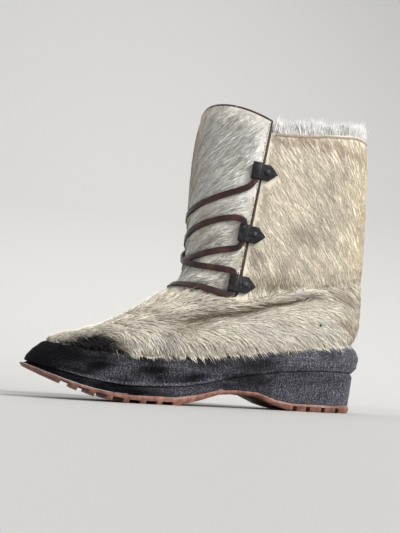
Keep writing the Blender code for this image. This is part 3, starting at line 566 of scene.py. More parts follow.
def rootsOn(piece, count, rng, keep):
    # Places spread evenly over the outer faces that keep(places, normals) lets through
    mesh = piece.data
    mesh.calc_loop_triangles()
    corners = np.empty(len(mesh.loop_triangles) * 3, np.int32)
    mesh.loop_triangles.foreach_get("vertices", corners)
    corners = corners.reshape(-1, 3)
    places = placesOf(piece)
    normals = normalsOf(piece)
    a, b, c = (places[corners[:, k]] for k in range(3))
    area = np.linalg.norm(np.cross(b - a, c - a), axis=1) / 2
    middle = (a + b + c) / 3
    faceNormal = unit(np.cross(b - a, c - a))
    wanted = area * keep(middle, faceNormal)
    chosen = rng.choice(len(corners), count, p=wanted / wanted.sum())
    u = np.sqrt(rng.random(count))
    v = rng.random(count)
    share = np.stack([1 - u, u * (1 - v), u * v], 1)
    root = np.einsum("ij,ijk->ik", share, places[corners[chosen]])
    normal = unit(np.einsum("ij,ijk->ik", share, normals[corners[chosen]]))
    return clearRoots(root, normal)


def followSurface(tree, guess, spare):
    # Each guessed place drawn onto the surface, except past an edge, where it keeps going
    drawn = guess.copy()
    normals = spare.copy()
    for i, place in enumerate(guess):
        near, normal, _, gap = tree.find_nearest(Vector(place))
        if near is None or gap > strandRules["skinReach"]:
            continue
        normal = np.array(normal)
        offset = place - np.array(near)
        across = offset - normal * (offset @ normal)
        if normal @ spare[i] > 0.2 and across @ across < strandRules["pastEdge"] ** 2:
            drawn[i] = np.array(near)
            normals[i] = normal
    return drawn, normals


def overRand(places, outward):
    # A place inside the rand comes out to its face
    moved = places.copy()
    reach, off = strandRules["skinReach"], strandRules["offRand"]
    for i, place in enumerate(places):
        if place[2] < randTop((heelY - place[1]) / mm) * mm + off:
            far = Vector(place + outward[i] * reach)
            near, normal = randTree.ray_cast(far, Vector(-outward[i]), reach)[:2]
            if near is not None and normal.dot(Vector(outward[i])) > 0:
                moved[i] = np.array(near + normal * off)
    return moved


def heldDown(places):
    # 0 where a lace or a loop presses on the hair, 1 clear of them
    share = np.ones(len(places))
    for tree in pressed:
        for i, place in enumerate(places):
            near, _, _, gap = tree.find_nearest(Vector(place), strandRules["pressedReach"])
            if near is not None:
                free = (gap - strandRules["pressedFlat"]) / strandRules["pressedFade"]
                share[i] = min(share[i], max(0.0, free))
    return share


def liesOver(places, outward):
    # True where a place is on top of a lace, a loop or the binding
    over = np.zeros(len(places), bool)
    for tree in pressed:
        for i, place in enumerate(places):
            near, facing = tree.find_nearest(Vector(place), strandRules["topReach"])[:2]
            if near is not None and facing.dot(Vector(outward[i])) > 0.5:
                offset = Vector(place) - near
                rise = offset.dot(facing)
                aside = (offset - facing * rise).length
                over[i] = over[i] or (rise > 0 and aside < strandRules["onTop"])
    return over


def chance(span, count, rng):
    # Numbers between span[0] and span[0] + span[1]
    return span[0] + span[1] * rng.random(count)


def ringsRound(centre, across, other, half):
    # The three points round each strand's centre
    return [centre + across * (math.cos(turn) * half) + other * (math.sin(turn) * half)
            for turn in strandCorners]


def strandPiece(name, rings, settings, colour, rng):
    # Joins the strands, each given by its rings of three points and its tip
    shares = settings["rings"]
    count = len(colour)
    points = np.stack(rings, 1).reshape(-1, 3)
    perStrand = 3 * len(shares) + 1
    faces = [(2, 1, 0)]
    for k in range(len(shares) - 1):
        for i in range(3):
            j = (i + 1) % 3
            faces.append((3 * k + i, 3 * k + j, 3 * k + 3 + j))
            faces.append((3 * k + i, 3 * k + 3 + j, 3 * k + 3 + i))
    top = 3 * (len(shares) - 1)
    faces += [(top + i, top + (i + 1) % 3, top + 3) for i in range(3)]
    corners = (np.arange(count)[:, None, None] * perStrand + np.array(faces)[None]).reshape(-1, 3)
    mesh = bpy.data.meshes.new(name)
    mesh.vertices.add(len(points))
    mesh.vertices.foreach_set("co", points.astype(np.float32).ravel())
    mesh.loops.add(corners.size)
    mesh.loops.foreach_set("vertex_index", corners.astype(np.int32).ravel())
    mesh.polygons.add(len(corners))
    mesh.polygons.foreach_set("loop_start", np.arange(0, corners.size, 3, dtype=np.int32))
    mesh.update(calc_edges=True)
    piece = bpy.data.objects.new(name, mesh)
    bpy.context.scene.collection.objects.link(piece)
    rise = strandRules["topShade"] - settings["rootShade"]
    shade = np.array([settings["rootShade"] + rise * s for s in shares] + [strandRules["tipShade"]])
    shade = np.concatenate([np.repeat(shade[:-1], 3), shade[-1:]])
    tint = colour * (1 + rng.normal(0, settings["variety"], count))[:, None]
    shaded = (tint[:, None, :] * shade[None, :, None]).reshape(-1, 3)
    paint(piece, "hairColour", np.clip(shaded, *strandRules["shades"]))
    smoothShade(piece, 180)
    print(name, len(corners), "triangles")
    return piece


def growStrands(name, skin, settings, root, normal, lie, colour, rng):
    # Closed three-sided strands that follow the skin and bend with the lie of the hair
    tree = treeOf(skin)
    count = len(root)
    direction, length, lift = lie(root)
    length = length * settings["length"] * chance(strandRules["lengths"], count, rng)
    if settings.get("overhang"):
        station = stationsOf(root)[0]
        past = settings["overhang"] * (1 - 1.15 * softStep(205, 235, station)) * rng.random(count)
        room = root[:, 2] - (randTop(station) * mm - past)
        length = np.minimum(length, np.maximum(room, 0.0015) / np.maximum(-unit(direction)[:, 2], 0.12))
    spread = rng.normal(0, settings["spread"], count)
    wave = noiseAt(root, settings["lockScale"], 7.7) * settings["locks"]
    held = heldDown(root + normal * strandRules["probe"])
    leaders = rng.choice(count, max(8, int(count * settings["lockShare"])), replace=False)
    near = kdtree.KDTree(len(leaders))
    for i, leader in enumerate(leaders):
        near.insert(root[leader], i)
    near.balance()
    leader = leaders[np.array([near.find(place)[1] for place in root])]
    gather = (root[leader] - root) * (settings["gather"] * chance((0.6, 0.6), count, rng))[:, None]
    gather *= (np.linalg.norm(gather, axis=1) < strandRules["lockReach"])[:, None]
    shares = settings["rings"]
    centres = [root - normal * strandRules["sunk"]]
    normals = [normal]
    across = None
    surface = root
    for k in range(1, len(shares) + 1):
        share = shares[k] if k < len(shares) else 1.0
        before = shares[k - 1]
        direction = lie(surface)[0]
        direction = unit(direction - normals[-1] * np.einsum("ij,ij->i", direction, normals[-1])[:, None])
        side = np.cross(normals[-1], direction)
        turned = unit(direction + side * (spread + wave * share)[:, None])
        guess = surface + turned * (length * (share - before))[:, None]
        surface, here = followSurface(tree, guess, normals[-1])
        bent = share ** strandRules["curve"]
        rise = length * lift * settings["lift"] * bent * held + strandRules["clearance"]
        centre = surface + here * rise[:, None] + gather * share ** strandRules["gatherCurve"]
        if settings.get("overhang"):
            centre = overRand(centre, here)
        centres.append(centre)
        normals.append(here)
        if across is None:
            across = side
    off = np.array([tree.find_nearest(Vector(tip))[3] for tip in centres[-1]])
    turned = np.einsum("ij,ij->i", unit(centres[1] - centres[0]), unit(centres[-1] - centres[-2]))
    kept = (off < settings["stray"]) & (turned > strandRules["turnedBack"])
    for k in range(1, len(centres)):
        for place in (centres[k], (centres[k] + centres[k - 1]) / 2):
            kept &= ~liesOver(place, normals[k])
    centres = [centre[kept] for centre in centres]
    normals = [here[kept] for here in normals]
    across, colour = across[kept], colour[kept]
    width = settings["width"] * chance(strandRules["widths"], len(colour), rng)
    rings = []
    for k, share in enumerate(shares):
        half = (width / 2 * (1 - share) ** settings["taper"])[:, None]
        rings += ringsRound(centres[k], across, normals[k] * strandRules["flatness"], half)
    rings.append(centres[-1])
    return strandPiece(name, rings, settings, colour, rng)


# Hide: the upper's skin, with its folds and soft locks

creaseLine = ((190, 175, 160, 106, 61, 36), (57, 60, 64, 77, 91, 96))  # stations and heights in mm
hide = {
    "smoothing": 8,
    "lockHeight": 0.0006,
    "crease": 2.6,
    "ridge": 1.7,  # the roll of hide that hangs over the crease
    "inside": (0.70, 0.66, 0.58),
    "softShaft": (0.225, heelY - 0.080),  # smoothed below this height and behind this line
    "softFoot": (0.050, 0.080),  # and between these heights
    "rimShade": 0.64,
    "rimReach": (0.001, 0.0065),
    # station and height in mm of both ends, depth, spread in mm
    "folds": (
        (60, 78, 22, 88, 1.3, 4.5),
        (48, 92, 10, 102, 1.0, 4.0),
        (160, 82, 140, 74, 0.8, 4.0),
    ),
}


def creaseShare(places, spread):
    # 1 on the long crease across the ankle, 0 away from it
    station, height = stationsOf(places)
    line = np.interp(station, creaseLine[0][::-1], creaseLine[1][::-1])
    ends = softStep(34, 58, station) * (1 - softStep(156, 188, station))
    return ends * np.exp(-(((height - line) / spread) ** 2))


def foldDepth(places):
    station, height = stationsOf(places)
    depth = np.zeros(len(places))
    for s0, z0, s1, z1, deep, spread in hide["folds"]:
        share = (station - s0) / (s1 - s0)
        line = z0 + (z1 - z0) * share
        along = softStep(-0.15, 0.3, share) * (1 - softStep(0.7, 1.15, share))
        depth += deep * along * np.exp(-(((height - line) / spread) ** 2))
    ridge = creaseShare(places - np.array((0, 0, 0.0080)), 4.6)
    return (depth + hide["crease"] * creaseShare(places, 3.4) - hide["ridge"] * ridge) * mm


def makeHide():
    piece = copyOfNode("upper", "hide")
    refine(piece)
    places = placesOf(piece)
    soft = piece.vertex_groups.new(name="soft")
    top, front = hide["softShaft"]
    low, high = hide["softFoot"]
    atShaft = (places[:, 2] < top) & (places[:, 1] > front)
    atFoot = (places[:, 2] < high) & (places[:, 2] > low)
    for i in np.flatnonzero(atShaft | atFoot):
        soft.add([int(i)], 1.0, "REPLACE")
    finishWith(piece, "SMOOTH", factor=0.5, iterations=hide["smoothing"], vertex_group="soft")
    places = placesOf(piece)
    normals = normalsOf(piece)
    outer = softStep(0.05, 0.35, outerShare(places, normals))
    locks = noiseAt(places, (160, 60, 90), 1.3) * hide["lockHeight"]
    sideways = softStep(0.3, 0.8, np.abs(normals[:, 0]))
    folds = foldDepth(places) * sideways * (1 - 2 * outer)  # both skins move together
    places += normals * (outer * locks + folds)[:, None]
    setPlaces(piece, places)
    inner = (outer < 0.5)[:, None]
    rim = np.interp(stationsOf(places)[0], *rimOfNode)
    # Painted shade on the skin just above the rand
    atRim = 1 - softStep(*hide["rimReach"], places[:, 2] - rim)  # darker where the rand begins
    colours = coatAt(places) * (0.94 - hide["rimShade"] * atRim)[:, None]
    paint(piece, "hairColour", np.where(inner, hide["inside"], colours))
    smoothShade(piece, 60)
    settle(piece, coatMaterial("hide_skin", (0.9, 0, 0), 0.85), "cream_hide", "upper")
    return piece


# The rand's top edge as the hide meets it: stations in mm and heights
rimOfNode = ((0, 35, 72, 100, 140, 194, 221, 240, 262, 285),
             (0.058, 0.0535, 0.0485, 0.044, 0.0385, 0.0355, 0.0375, 0.0408, 0.045, 0.048))
hidePiece = makeHide()
hideTree = treeOf(hidePiece)
print("hide ready")

# Rand, midsole, outsole and insole

sole = {
    "treadEdge": 0.0005,
    "randFlare": 0.0015,  # the wrap's lower edge comes out to meet the layer under it
    "toeFlare": 0.0030,
    "midsoleFlare": 0.0016,
    "paleEdgeShare": 0.9,
    "wrinkle": 0.0007,
    "dent": 0.0004,
    "midsoleDent": 0.0003,
    "wrapDrop": 0.0005,  # the wrap's lower edge, over the layer under it
}


def blackCloth():
    # Speckled black wrap: blacker at the toe, greyer where painted with real dust and with painted light
    # that is paler towards the heel
    material, tree, shader = newMaterial("black_wrap", Roughness=0.72, Specular_IOR_Level=0.07)
    vector = placeNodes(tree)
    speck = noiseNode(tree, vector, 1000.0, 4.0, 0.75)
    threads = noiseNode(tree, placeNodes(tree, (1.0, 1.0, 0.14)), 1000.0, 2.0)
    scuff = noiseNode(tree, placeNodes(tree, (1, 0.16, 1)), 210.0, 6.0, 0.65)
    cloud = noiseNode(tree, placeNodes(tree, (1, 0.5, 1)), 34.0, 6.0)
    dustAndLight = addNode(tree, "ShaderNodeAttribute", attribute_name="dustAndLight")
    black = rampNode(tree, speck, (0.40, (0.001, 0.001, 0.002)), (0.57, (0.004, 0.004, 0.006)),
                     (0.74, (0.024, 0.024, 0.030)))
    grey = rampNode(tree, speck, (0.38, (0.026, 0.026, 0.034)), (0.53, (0.090, 0.089, 0.110)),
                    (0.68, (0.38, 0.375, 0.41)))
    clouds = rampNode(tree, cloud, (0.35, (0, 0, 0)), (0.65, (1, 1, 1)))
    patchy = mixNode(tree, 0.7, dustAndLight.outputs["Color"], clouds, "OVERLAY")
    mixed = mixNode(tree, patchy, black, grey)
    thin = rampNode(tree, threads, (0.35, (0.60, 0.60, 0.63)), (0.62, (1.3, 1.3, 1.3)))
    dustedAndLitCloth = mixNode(tree, 1.0, mixed, thin, "MULTIPLY")
    share = rampNode(tree, scuff, (0.62, (0, 0, 0)), (0.74, (0.5, 0.5, 0.5)))
    marks = mixNode(tree, 1.0, share, dustAndLight.outputs["Color"], "MULTIPLY")
    tree.links.new(mixNode(tree, marks, dustedAndLitCloth, (0.30, 0.30, 0.33)), shader.inputs["Base Color"])
    under = bumpNode(tree, shader, threads, 0.0004, 0.7)
    bumpNode(tree, shader, speck, 0.0005, 0.9, under)
    return material


def rubberMaterial():
    material, tree, shader = newMaterial("tan_rubber", Roughness=0.48, Specular_IOR_Level=0.4)
    vector = placeNodes(tree)
    tan = rampNode(tree, noiseNode(tree, vector, 55.0, 7.0), (0.3, (0.17, 0.075, 0.055)),
                   (0.52, (0.27, 0.125, 0.092)), (0.75, (0.38, 0.20, 0.155)))
    smears = noiseNode(tree, vector, 240.0, 5.0)
    dirt = rampNode(tree, smears, (0.42, (0.45, 0.42, 0.42)), (0.62, (1, 1, 1)))
    tree.links.new(mixNode(tree, 0.8, tan, dirt, "MULTIPLY"), shader.inputs["Base Color"])
    bumpNode(tree, shader, noiseNode(tree, vector, 700.0, 5.0), 0.0003, 0.6)
    return material


def feltMaterial():
    stops = ((0.3, (0.42, 0.36, 0.28)), (0.7, (0.66, 0.60, 0.50)))
    return grainMaterial("felt", (300.0, 6.0), stops, (1200.0, 5.0, 0.0006, 1.0),
                         Roughness=0.95, Sheen_Weight=0.3)


def fromSpine(places):
    # Horizontal direction away from the middle line of the sole
    spine = np.clip(places[:, 1], heelY - 0.235, heelY - 0.040)
    return unit(np.stack([places[:, 0], places[:, 1] - spine, np.zeros(len(places))], 1))


def edgeLine(places, pick):
    # Lowest or highest point of a layer along the sole, by station
    station = stationsOf(places)[0]
    stops = np.arange(np.floor(station.min()), station.max() + 5, 5)
    which = np.digitize(station, stops)
    groups = [which == k for k in range(1, len(stops) + 1) if (which == k).any()]
    return np.array([(station[group].mean(), pick(places[group, 2])) for group in groups]).T


def randDustAndLight(places):
    # Dust along the crease, round the heel and in patches, and painted light: paler towards the heel, where
    # the light falls, and black at the toe, in shade
    station, height = stationsOf(places)
    dustAndLight = 0.64 * (1 - softStep(30, 240, station)) + 0.26 * (1 - softStep(10, 90, station))
    dustAndLight += 0.35 * np.exp(-(((station - 205) / 26) ** 2 + ((height - 22) / 6) ** 2))
    dustAndLight += 0.45 * np.exp(-(((station + 4) / 10) ** 2)) * softStep(-0.2, 0.3, noiseAt(places, 150, 3.3))
    patches = 0.42 * noiseAt(places, (30, 45, 90), 6.6) + 0.26 * noiseAt(places, (120, 40, 260), 1.9)
    dustAndLight += patches * (1 - 0.9 * softStep(215, 262, station))
    return np.clip(dustAndLight, 0, 1)


def makeRand(cloth):
    piece = copyOfNode("rand", "rand_wrap")
    refine(piece, 2)
    places = placesOf(piece)
    normals = normalsOf(piece)
    outward = fromSpine(places)
    outer = softStep(-0.1, 0.35, np.einsum("ij,ij->i", outward, normals))
    station = stationsOf(places)[0]
    foot = np.interp(station, *edgeLine(places, np.min))
    above = (places[:, 2] - foot) / mm
    low = (1 - softStep(0.5, 5.0, above)) * softStep(-2, 12, station)
    toe = softStep(235, 272, station) * (1 - softStep(0, 17, above))
    places += outward * (outer * (low * sole["randFlare"] + toe * sole["toeFlare"]))[:, None]
    places[:, 2] -= sole["wrapDrop"] * low
    heel = 1 - softStep(0, 34, station)
    wrinkles = noiseAt(places, (60, 60, 240), 9.1) * sole["wrinkle"] * heel  # in the bulge round the heel
    dents = noiseAt(places, (40, 40, 60), 4.2) * sole["dent"]
    places += normals * (outer * (wrinkles + dents))[:, None]
    setPlaces(piece, places)
    # A paler line just above the rand's lower edge, from the waist to the toe, added to the rand's dust and
    # painted light
    paleEdge = softStep(118, 150, station) * (1 - softStep(236, 254, station))
    paleEdge = paleEdge * np.exp(-(((above - 1.4) / 1.0) ** 2))
    dustAndLight = np.clip(randDustAndLight(places) + sole["paleEdgeShare"] * paleEdge, 0, 1)
    paint(piece, "dustAndLight", np.repeat(dustAndLight[:, None], 3, 1))
    smoothShade(piece, 60)
    settle(piece, cloth, "black_rand", "rand")
    return piece


def makeMidsole(cloth):
    piece = copyOfNode("midsole", "midsole_block")
    refine(piece)
    places = placesOf(piece)
    normals = normalsOf(piece)
    outward = fromSpine(places)
    outer = softStep(0.15, 0.5, np.einsum("ij,ij->i", outward, normals))
    station = stationsOf(places)[0]
    foot = np.interp(station, *edgeLine(places, np.min))
    top = np.interp(station, *edgeLine(places, np.max))
    share = (places[:, 2] - foot) / np.maximum(top - foot, 0.002)
    push = outer * (0.25 + 0.75 * softStep(0.1, 0.8, share)) * softStep(-2, 14, station)
    places += outward * (push * sole["midsoleFlare"])[:, None]
    dents = noiseAt(places, (50, 50, 70), 2.8) * sole["midsoleDent"]
    places += normals * (outer * dents)[:, None]
    setPlaces(piece, places)
    # The rand's real dust and painted light, a little fainter: paler towards the heel, black at the toe
    paint(piece, "dustAndLight", np.repeat(np.clip(randDustAndLight(places) * 0.8, 0, 1)[:, None], 3, 1))
    smoothShade(piece, 45)
    settle(piece, cloth, "black_midsole", "midsole")


def makeTread():
    piece = copyOfNode("outsole", "tread")
    finishWith(piece, "BEVEL", width=sole["treadEdge"], segments=2, limit_method="ANGLE")
    smoothShade(piece, 40)
    settle(piece, rubberMaterial(), "tan_rubber", "outsole")


cloth = blackCloth()
randPiece = makeRand(cloth)
randTree = treeOf(randPiece)
randLine = edgeLine(placesOf(randPiece), np.max)
makeMidsole(cloth)
makeTread()
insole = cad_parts["insole"]
insole.data.materials.clear()
insole.data.materials.append(feltMaterial())
print("sole ready")

# Lace, loops and binding

leatherLace = {"edge": 0.00045, "fuller": 0.00045, "nearLoops": (0.0005, 0.005)}
leatherLoop = {"edge": 0.00035, "rivetRadius": 0.0021, "rivetHeight": 0.0010, "rivetAcross": 0.0145}


def laceMaterial():
    stops = ((0.35, (0.016, 0.007, 0.007)), (0.55, (0.042, 0.016, 0.014)), (0.75, (0.12, 0.048, 0.038)))
    return grainMaterial("brown_thong", (90.0, 5.0), stops, (1500.0, 4.0, 0.0002, 0.7),
                         Roughness=0.40, Specular_IOR_Level=0.5)


def loopMaterial():
    # The lightest, blue-grey stop is a painted sheen on the black leather
    stops = ((0.42, (0.003, 0.003, 0.004)), (0.60, (0.010, 0.011, 0.015)), (0.74, (0.085, 0.095, 0.12)))
    return grainMaterial("black_leather", (260.0, 5.0), stops, (800.0, 5.0, 0.0004, 1.0),
                         Roughness=0.30, Specular_IOR_Level=0.5)


def domeAt(name, place, outward, radius, height):
    # Rivet head: a flat flange and a dome
    turns = 14
    rows = ((1.0, -0.5), (1.0, 0.10), (0.88, 0.20), (0.74, 0.22), (0.66, 0.55), (0.45, 0.86), (0.20, 0.98))
    points = [(0, 0, -0.5 * height)]
    for share, rise in rows:
        for k in range(turns):
            angle = 2 * math.pi * k / turns
            reach = share * radius
            points.append((math.cos(angle) * reach, math.sin(angle) * reach, rise * height))
    points.append((0, 0, height))
    faces = [(0, 1 + (k + 1) % turns, 1 + k) for k in range(turns)]
    for i in range(len(rows) - 1):
        for k in range(turns):
            m = (k + 1) % turns
            low, high = 1 + i * turns, 1 + (i + 1) * turns
            faces.append((low + k, low + m, high + m, high + k))
    last = 1 + (len(rows) - 1) * turns
    faces += [(last + k, last + (k + 1) % turns, len(points) - 1) for k in range(turns)]
    turned = Vector(outward).to_track_quat("Z", "Y")
    return pieceFrom(name, [turned @ Vector(point) + Vector(place) for point in points], faces, 50)


def rivetMaterial():
    stops = ((0.35, (0.010, 0.011, 0.015)), (0.7, (0.075, 0.085, 0.11)))
    return grainMaterial("dark_rivet", (900.0, 4.0), stops, Roughness=0.30, Specular_IOR_Level=0.5)


def makeLace():
    piece = copyOfNode("lace", "lace_thong")
    places = placesOf(piece)
    normals = normalsOf(piece)
    clear = np.ones(len(places))
    for side in ("outer", "inner"):
        for level in ("low", "middle", "top"):
            low, high = (np.array(corner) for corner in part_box(f"lace_loop_{side}_{level}"))
            gap = np.maximum(np.maximum(low - places, places - high), 0)
            clear = np.minimum(clear, softStep(*leatherLace["nearLoops"], np.linalg.norm(gap, axis=1)))
    setPlaces(piece, places + normals * (clear * leatherLace["fuller"])[:, None])
    finishWith(piece, "BEVEL", width=leatherLace["edge"], segments=2, limit_method="ANGLE")
    smoothShade(piece, 50)
    settle(piece, laceMaterial(), "brown_thong", "lace")
    pressed.append(treeOf(piece))


def makeLoops():
    leather = loopMaterial()
    metal = rivetMaterial()
    for side, way in (("outer", 1), ("inner", -1)):
        for level in ("low", "middle", "top"):
            node = f"lace_loop_{side}_{level}"
            low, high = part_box(node)
            piece = copyOfNode(node, f"loop_{side}_{level}")
            finishWith(piece, "BEVEL", width=leatherLoop["edge"], segments=2, limit_method="ANGLE")
            smoothShade(piece, 50)
            settle(piece, leather, "black_leather", node)
            tree = treeOf(piece)
            pressed.append(tree)
            start = Vector((way * 0.2, low.y + leatherLoop["rivetAcross"], (low.z + high.z) / 2))
            place, outward = tree.ray_cast(start, Vector((-way, 0, 0)))[:2]
            radius, height = leatherLoop["rivetRadius"], leatherLoop["rivetHeight"]
            rivet = domeAt(f"rivet_{side}_{level}", place, outward, radius, height)
            settle(rivet, metal, "black_leather")


def makeBinding():
    stops = ((0.3, (0.030, 0.016, 0.011)), (0.8, (0.11, 0.062, 0.042)))
    leather = grainMaterial("brown_binding", (500.0, 4.0), stops, (500.0, 4.0, 0.0002, 1.0), Roughness=0.5)
    piece = copyOfNode("tongue_binding", "tongue_edge")
    smoothShade(piece, 60)
    settle(piece, leather, "brown_binding", "tongue_binding")
    pressed.append(treeOf(piece))
    return piece


edgeStitch = {
    "step": 0.0030,
    "length": 0.0021,
    "radius": 0.00040,
    "inset": 0.0030,
    "heights": (0.110, 0.256),  # of the rows up both sides
    "across": (-0.036, 0.0361),  # of the row over the top
    "colour": (0.62, 0.54, 0.42),
}


def makeStitches(binding):
    # Light stitches just inside the tongue's bound edge, up both sides and over the top
    skins = [treeOf(binding), treeOf(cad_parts["tongue"])]
    edge = placesOf(binding)
    spots = []

    def hitFrom(start, way):
        hits = [tree.ray_cast(Vector(start), Vector(way)) for tree in skins]
        hits = [(hit[3], hit[0], hit[1]) for hit in hits if hit[0] is not None]
        return min(hits, key=lambda hit: hit[0])[1:] if hits else None

    for side in (1, -1):
        for height in np.arange(*edgeStitch["heights"], edgeStitch["step"]):
            near = edge[(np.abs(edge[:, 2] - height) < 0.006) & (edge[:, 0] * side > 0.01)]
            if len(near):
                forward = near[:, 1].max() - edgeStitch["inset"]
                found = hitFrom((side * 0.2, forward, height), (-side, 0, 0))
                if found:
                    spots.append((*found, Vector((0, -0.1, 1))))
    for across in np.arange(*edgeStitch["across"], edgeStitch["step"]):
        near = edge[(np.abs(edge[:, 0] - across) < 0.004) & (edge[:, 2] > 0.24)]
        if len(near):
            found = hitFrom((across, -0.2, near[:, 2].max() - edgeStitch["inset"]), (0, 1, 0))
            if found:
                spots.append((*found, Vector((1, 0, 0))))
    points, faces = [], []
    for place, outward, along in spots:
        along = (along - outward * along.dot(outward)).normalized()
        across = outward.cross(along)
        first = len(points)
        for share, fat in ((-0.5, 0.35), (-0.3, 1.0), (0.3, 1.0), (0.5, 0.35)):
            for k in range(6):
                turn = math.pi * k / 3
                ring = across * math.cos(turn) * fat + outward * (math.sin(turn) * fat + 0.3)
                points.append(place + along * share * edgeStitch["length"] + ring * edgeStitch["radius"])
        faces.append(tuple(first + k for k in range(6)))
        faces.append(tuple(first + 18 + k for k in reversed(range(6))))
        for low in (first, first + 6, first + 12):
            for k in range(6):
                m = (k + 1) % 6
                faces.append((low + k, low + 6 + k, low + 6 + m, low + m))
    piece = pieceFrom("edge_stitches", points, faces, 60)
    low = tuple(c * 0.7 for c in edgeStitch["colour"])
    thread = grainMaterial("light_thread", (1800.0, 2.0), ((0.35, low), (0.65, edgeStitch["colour"])),
                           (1800.0, 2.0, 0.0001, 1.0), Roughness=0.7)
    settle(piece, thread, "brown_binding")
    return treeOf(piece)


specks = (
    # name, the piece under it, slot, station, height, radius, how far it stands off
    ("burr", hidePiece, "cream_hide", 38, 72, 0.0011, 0.0022),  # caught in the hair near the heel
    ("nail_head", randPiece, "black_rand", 128, 25, 0.0012, 0.0),
)


def makeSpecks():
    for name, skin, slot, station, height, radius, off in specks:
        start = Vector((0.2, heelY - station * mm, height * mm))
        place, outward = treeOf(skin).ray_cast(start, Vector((-1, 0, 0)))[:2]
        piece = domeAt(name, place + outward * off, outward, radius, 0.0007)
        settle(piece, bpy.data.materials["dark_rivet"], slot)


makeLace()
makeLoops()
binding = makeBinding()
bindingTree = treeOf(binding)
pressed.append(makeStitches(binding))
makeSpecks()
print("lace, loops and binding ready")

# Hair on shaft, foot and tongue

shaftHair = {"count": 18300, "length": 1.15, "width": 0.00066, "spread": 0.045, "locks": 0.12,
             "lockScale": 80, "lift": 0.36, "taper": 0.7, "rings": (0.0, 0.5), "rootShade": 0.95,
             "variety": 0.02, "lockShare": 0.12, "gather": 0.08, "stray": 0.012}
footHair = {"count": 10200, "length": 1.0, "width": 0.0011, "spread": 0.12, "locks": 0.5,
            "lockScale": 100, "lift": 1.0, "taper": 0.6, "rings": (0.0, 0.35, 0.7), "rootShade": 0.72,
            "variety": 0.09, "lockShare": 0.09, "gather": 0.85, "overhang": 0.0025, "stray": 0.008}


def shaftKeep(places, normals):
    station, height = stationsOf(places)
    outer = outerShare(places, normals) > 0.3
    above = height - seamHeight(station)
    beside = np.array([bindingTree.find_nearest(Vector(p), 0.005)[0] is not None for p in places])
    return outer * (above > 1.0) * (1 + 1.6 * beside + 0.8 * (above < 12))


def facesOut(places, normals):
    # False where the line along the normal crosses the inside of the boot
    clear = np.ones(len(places), bool)
    for i, (place, normal) in enumerate(zip(places, normals)):
        gap = hideTree.ray_cast(Vector(place + normal * 0.0003), Vector(normal))[3]
        clear[i] = gap is None or gap < 0.02
    return clear


def footKeep(places, normals):
    station, height = stationsOf(places)
    share = outerShare(places, normals)
    outer = share > 0.1
    under = np.flatnonzero((share <= 0.1) & (share > -0.7) & (creaseShare(places, 8.0) > 0.15))
    outer[under] = facesOut(places[under], normals[under])  # the hair under the roll at the crease
    rim = randTop(station)
    return outer * (height <= seamHeight(station) + 2.5) * (height > rim - 1.0) * 1.0


def randTop(station):
    # Height in mm of the rand's top edge
    return np.interp(station, randLine[0], randLine[1] / mm)


def makeShaftHair():
    rng = np.random.default_rng(11)
    root, normal = rootsOn(hidePiece, shaftHair["count"], rng, shaftKeep)
    piece = growStrands("shaft_hair", hidePiece, shaftHair, root, normal, lieAt, coatAt(root), rng)
    settle(piece, hairMaterial("short_hair", 0.55, 0.22), "cream_hide")


def makeFootHair():
    strands = hairMaterial("long_hair", 0.5, 0.4)
    for name, seed in (("foot_hair", 21), ("foot_hair_over", 22)):
        rng = np.random.default_rng(seed)
        root, normal = rootsOn(hidePiece, footHair["count"], rng, footKeep)
        piece = growStrands(name, hidePiece, footHair, root, normal, lieAt, coatAt(root), rng)
        settle(piece, strands, "cream_hide")


makeShaftHair()
makeFootHair()
print("shaft and foot hair ready")

tongueHair = {"count": 12700, "length": 1.5, "width": 0.00075, "spread": 0.05, "locks": 0.18,
              "lockScale": 90, "lift": 1.0, "taper": 0.7, "rings": (0.0, 0.5), "rootShade": 0.84,
              "variety": 0.07, "lockShare": 0.10, "gather": 0.4, "stray": 0.008,
              "silver": (0.93, 0.91, 0.86), "grey": (0.60, 0.57, 0.50), "brown": (0.66, 0.54, 0.42),
              "white": (0.97, 0.96, 0.93), "inside": (0.55, 0.47, 0.36), "heights": (0.088, 0.2655)}


def tongueLie(places):
    # Down and towards the middle of the front
    side = np.clip(places[:, 0] / 0.03, -1, 1)
    height = places[:, 2] / mm
    steep = 0.55 + 0.35 * softStep(150, 240, height)
    toeward = -(1 - 0.25 * steep)
    direction = np.stack([-0.75 * side, toeward * np.abs(side) ** 0.7, -steep], 1)
    return direction, np.full(len(places), 0.012), np.full(len(places), 0.045)


def tongueColour(places):
    silver, grey, brown, white = (np.array(tongueHair[key]) for key in ("silver", "grey", "brown", "white"))
    share = softStep(-0.45, 0.40, streakAt(places, (0.62, 0.78), 5.0, 230))
    colour = grey + (silver - grey) * share
    height = places[:, 2] / mm
    # Painted highlight: whiter on the outer side, where the light falls
    paintedHighlight = softStep(0.012, 0.038, places[:, 0]) * softStep(150, 190, height)
    paintedHighlight = paintedHighlight * (1 - softStep(236, 262, height))
    colour = colour + (white - colour) * (0.6 * paintedHighlight)[:, None]
    warm = softStep(175, 255, height) * (1 - softStep(0.002, 0.028, places[:, 0]))
    return colour + (brown - colour) * (0.85 * warm)[:, None]


def tongueKeep(places, normals):
    low, high = tongueHair["heights"]
    return (outerShare(places, normals) > 0.4) * (places[:, 2] > low) * (places[:, 2] < high) * 1.0


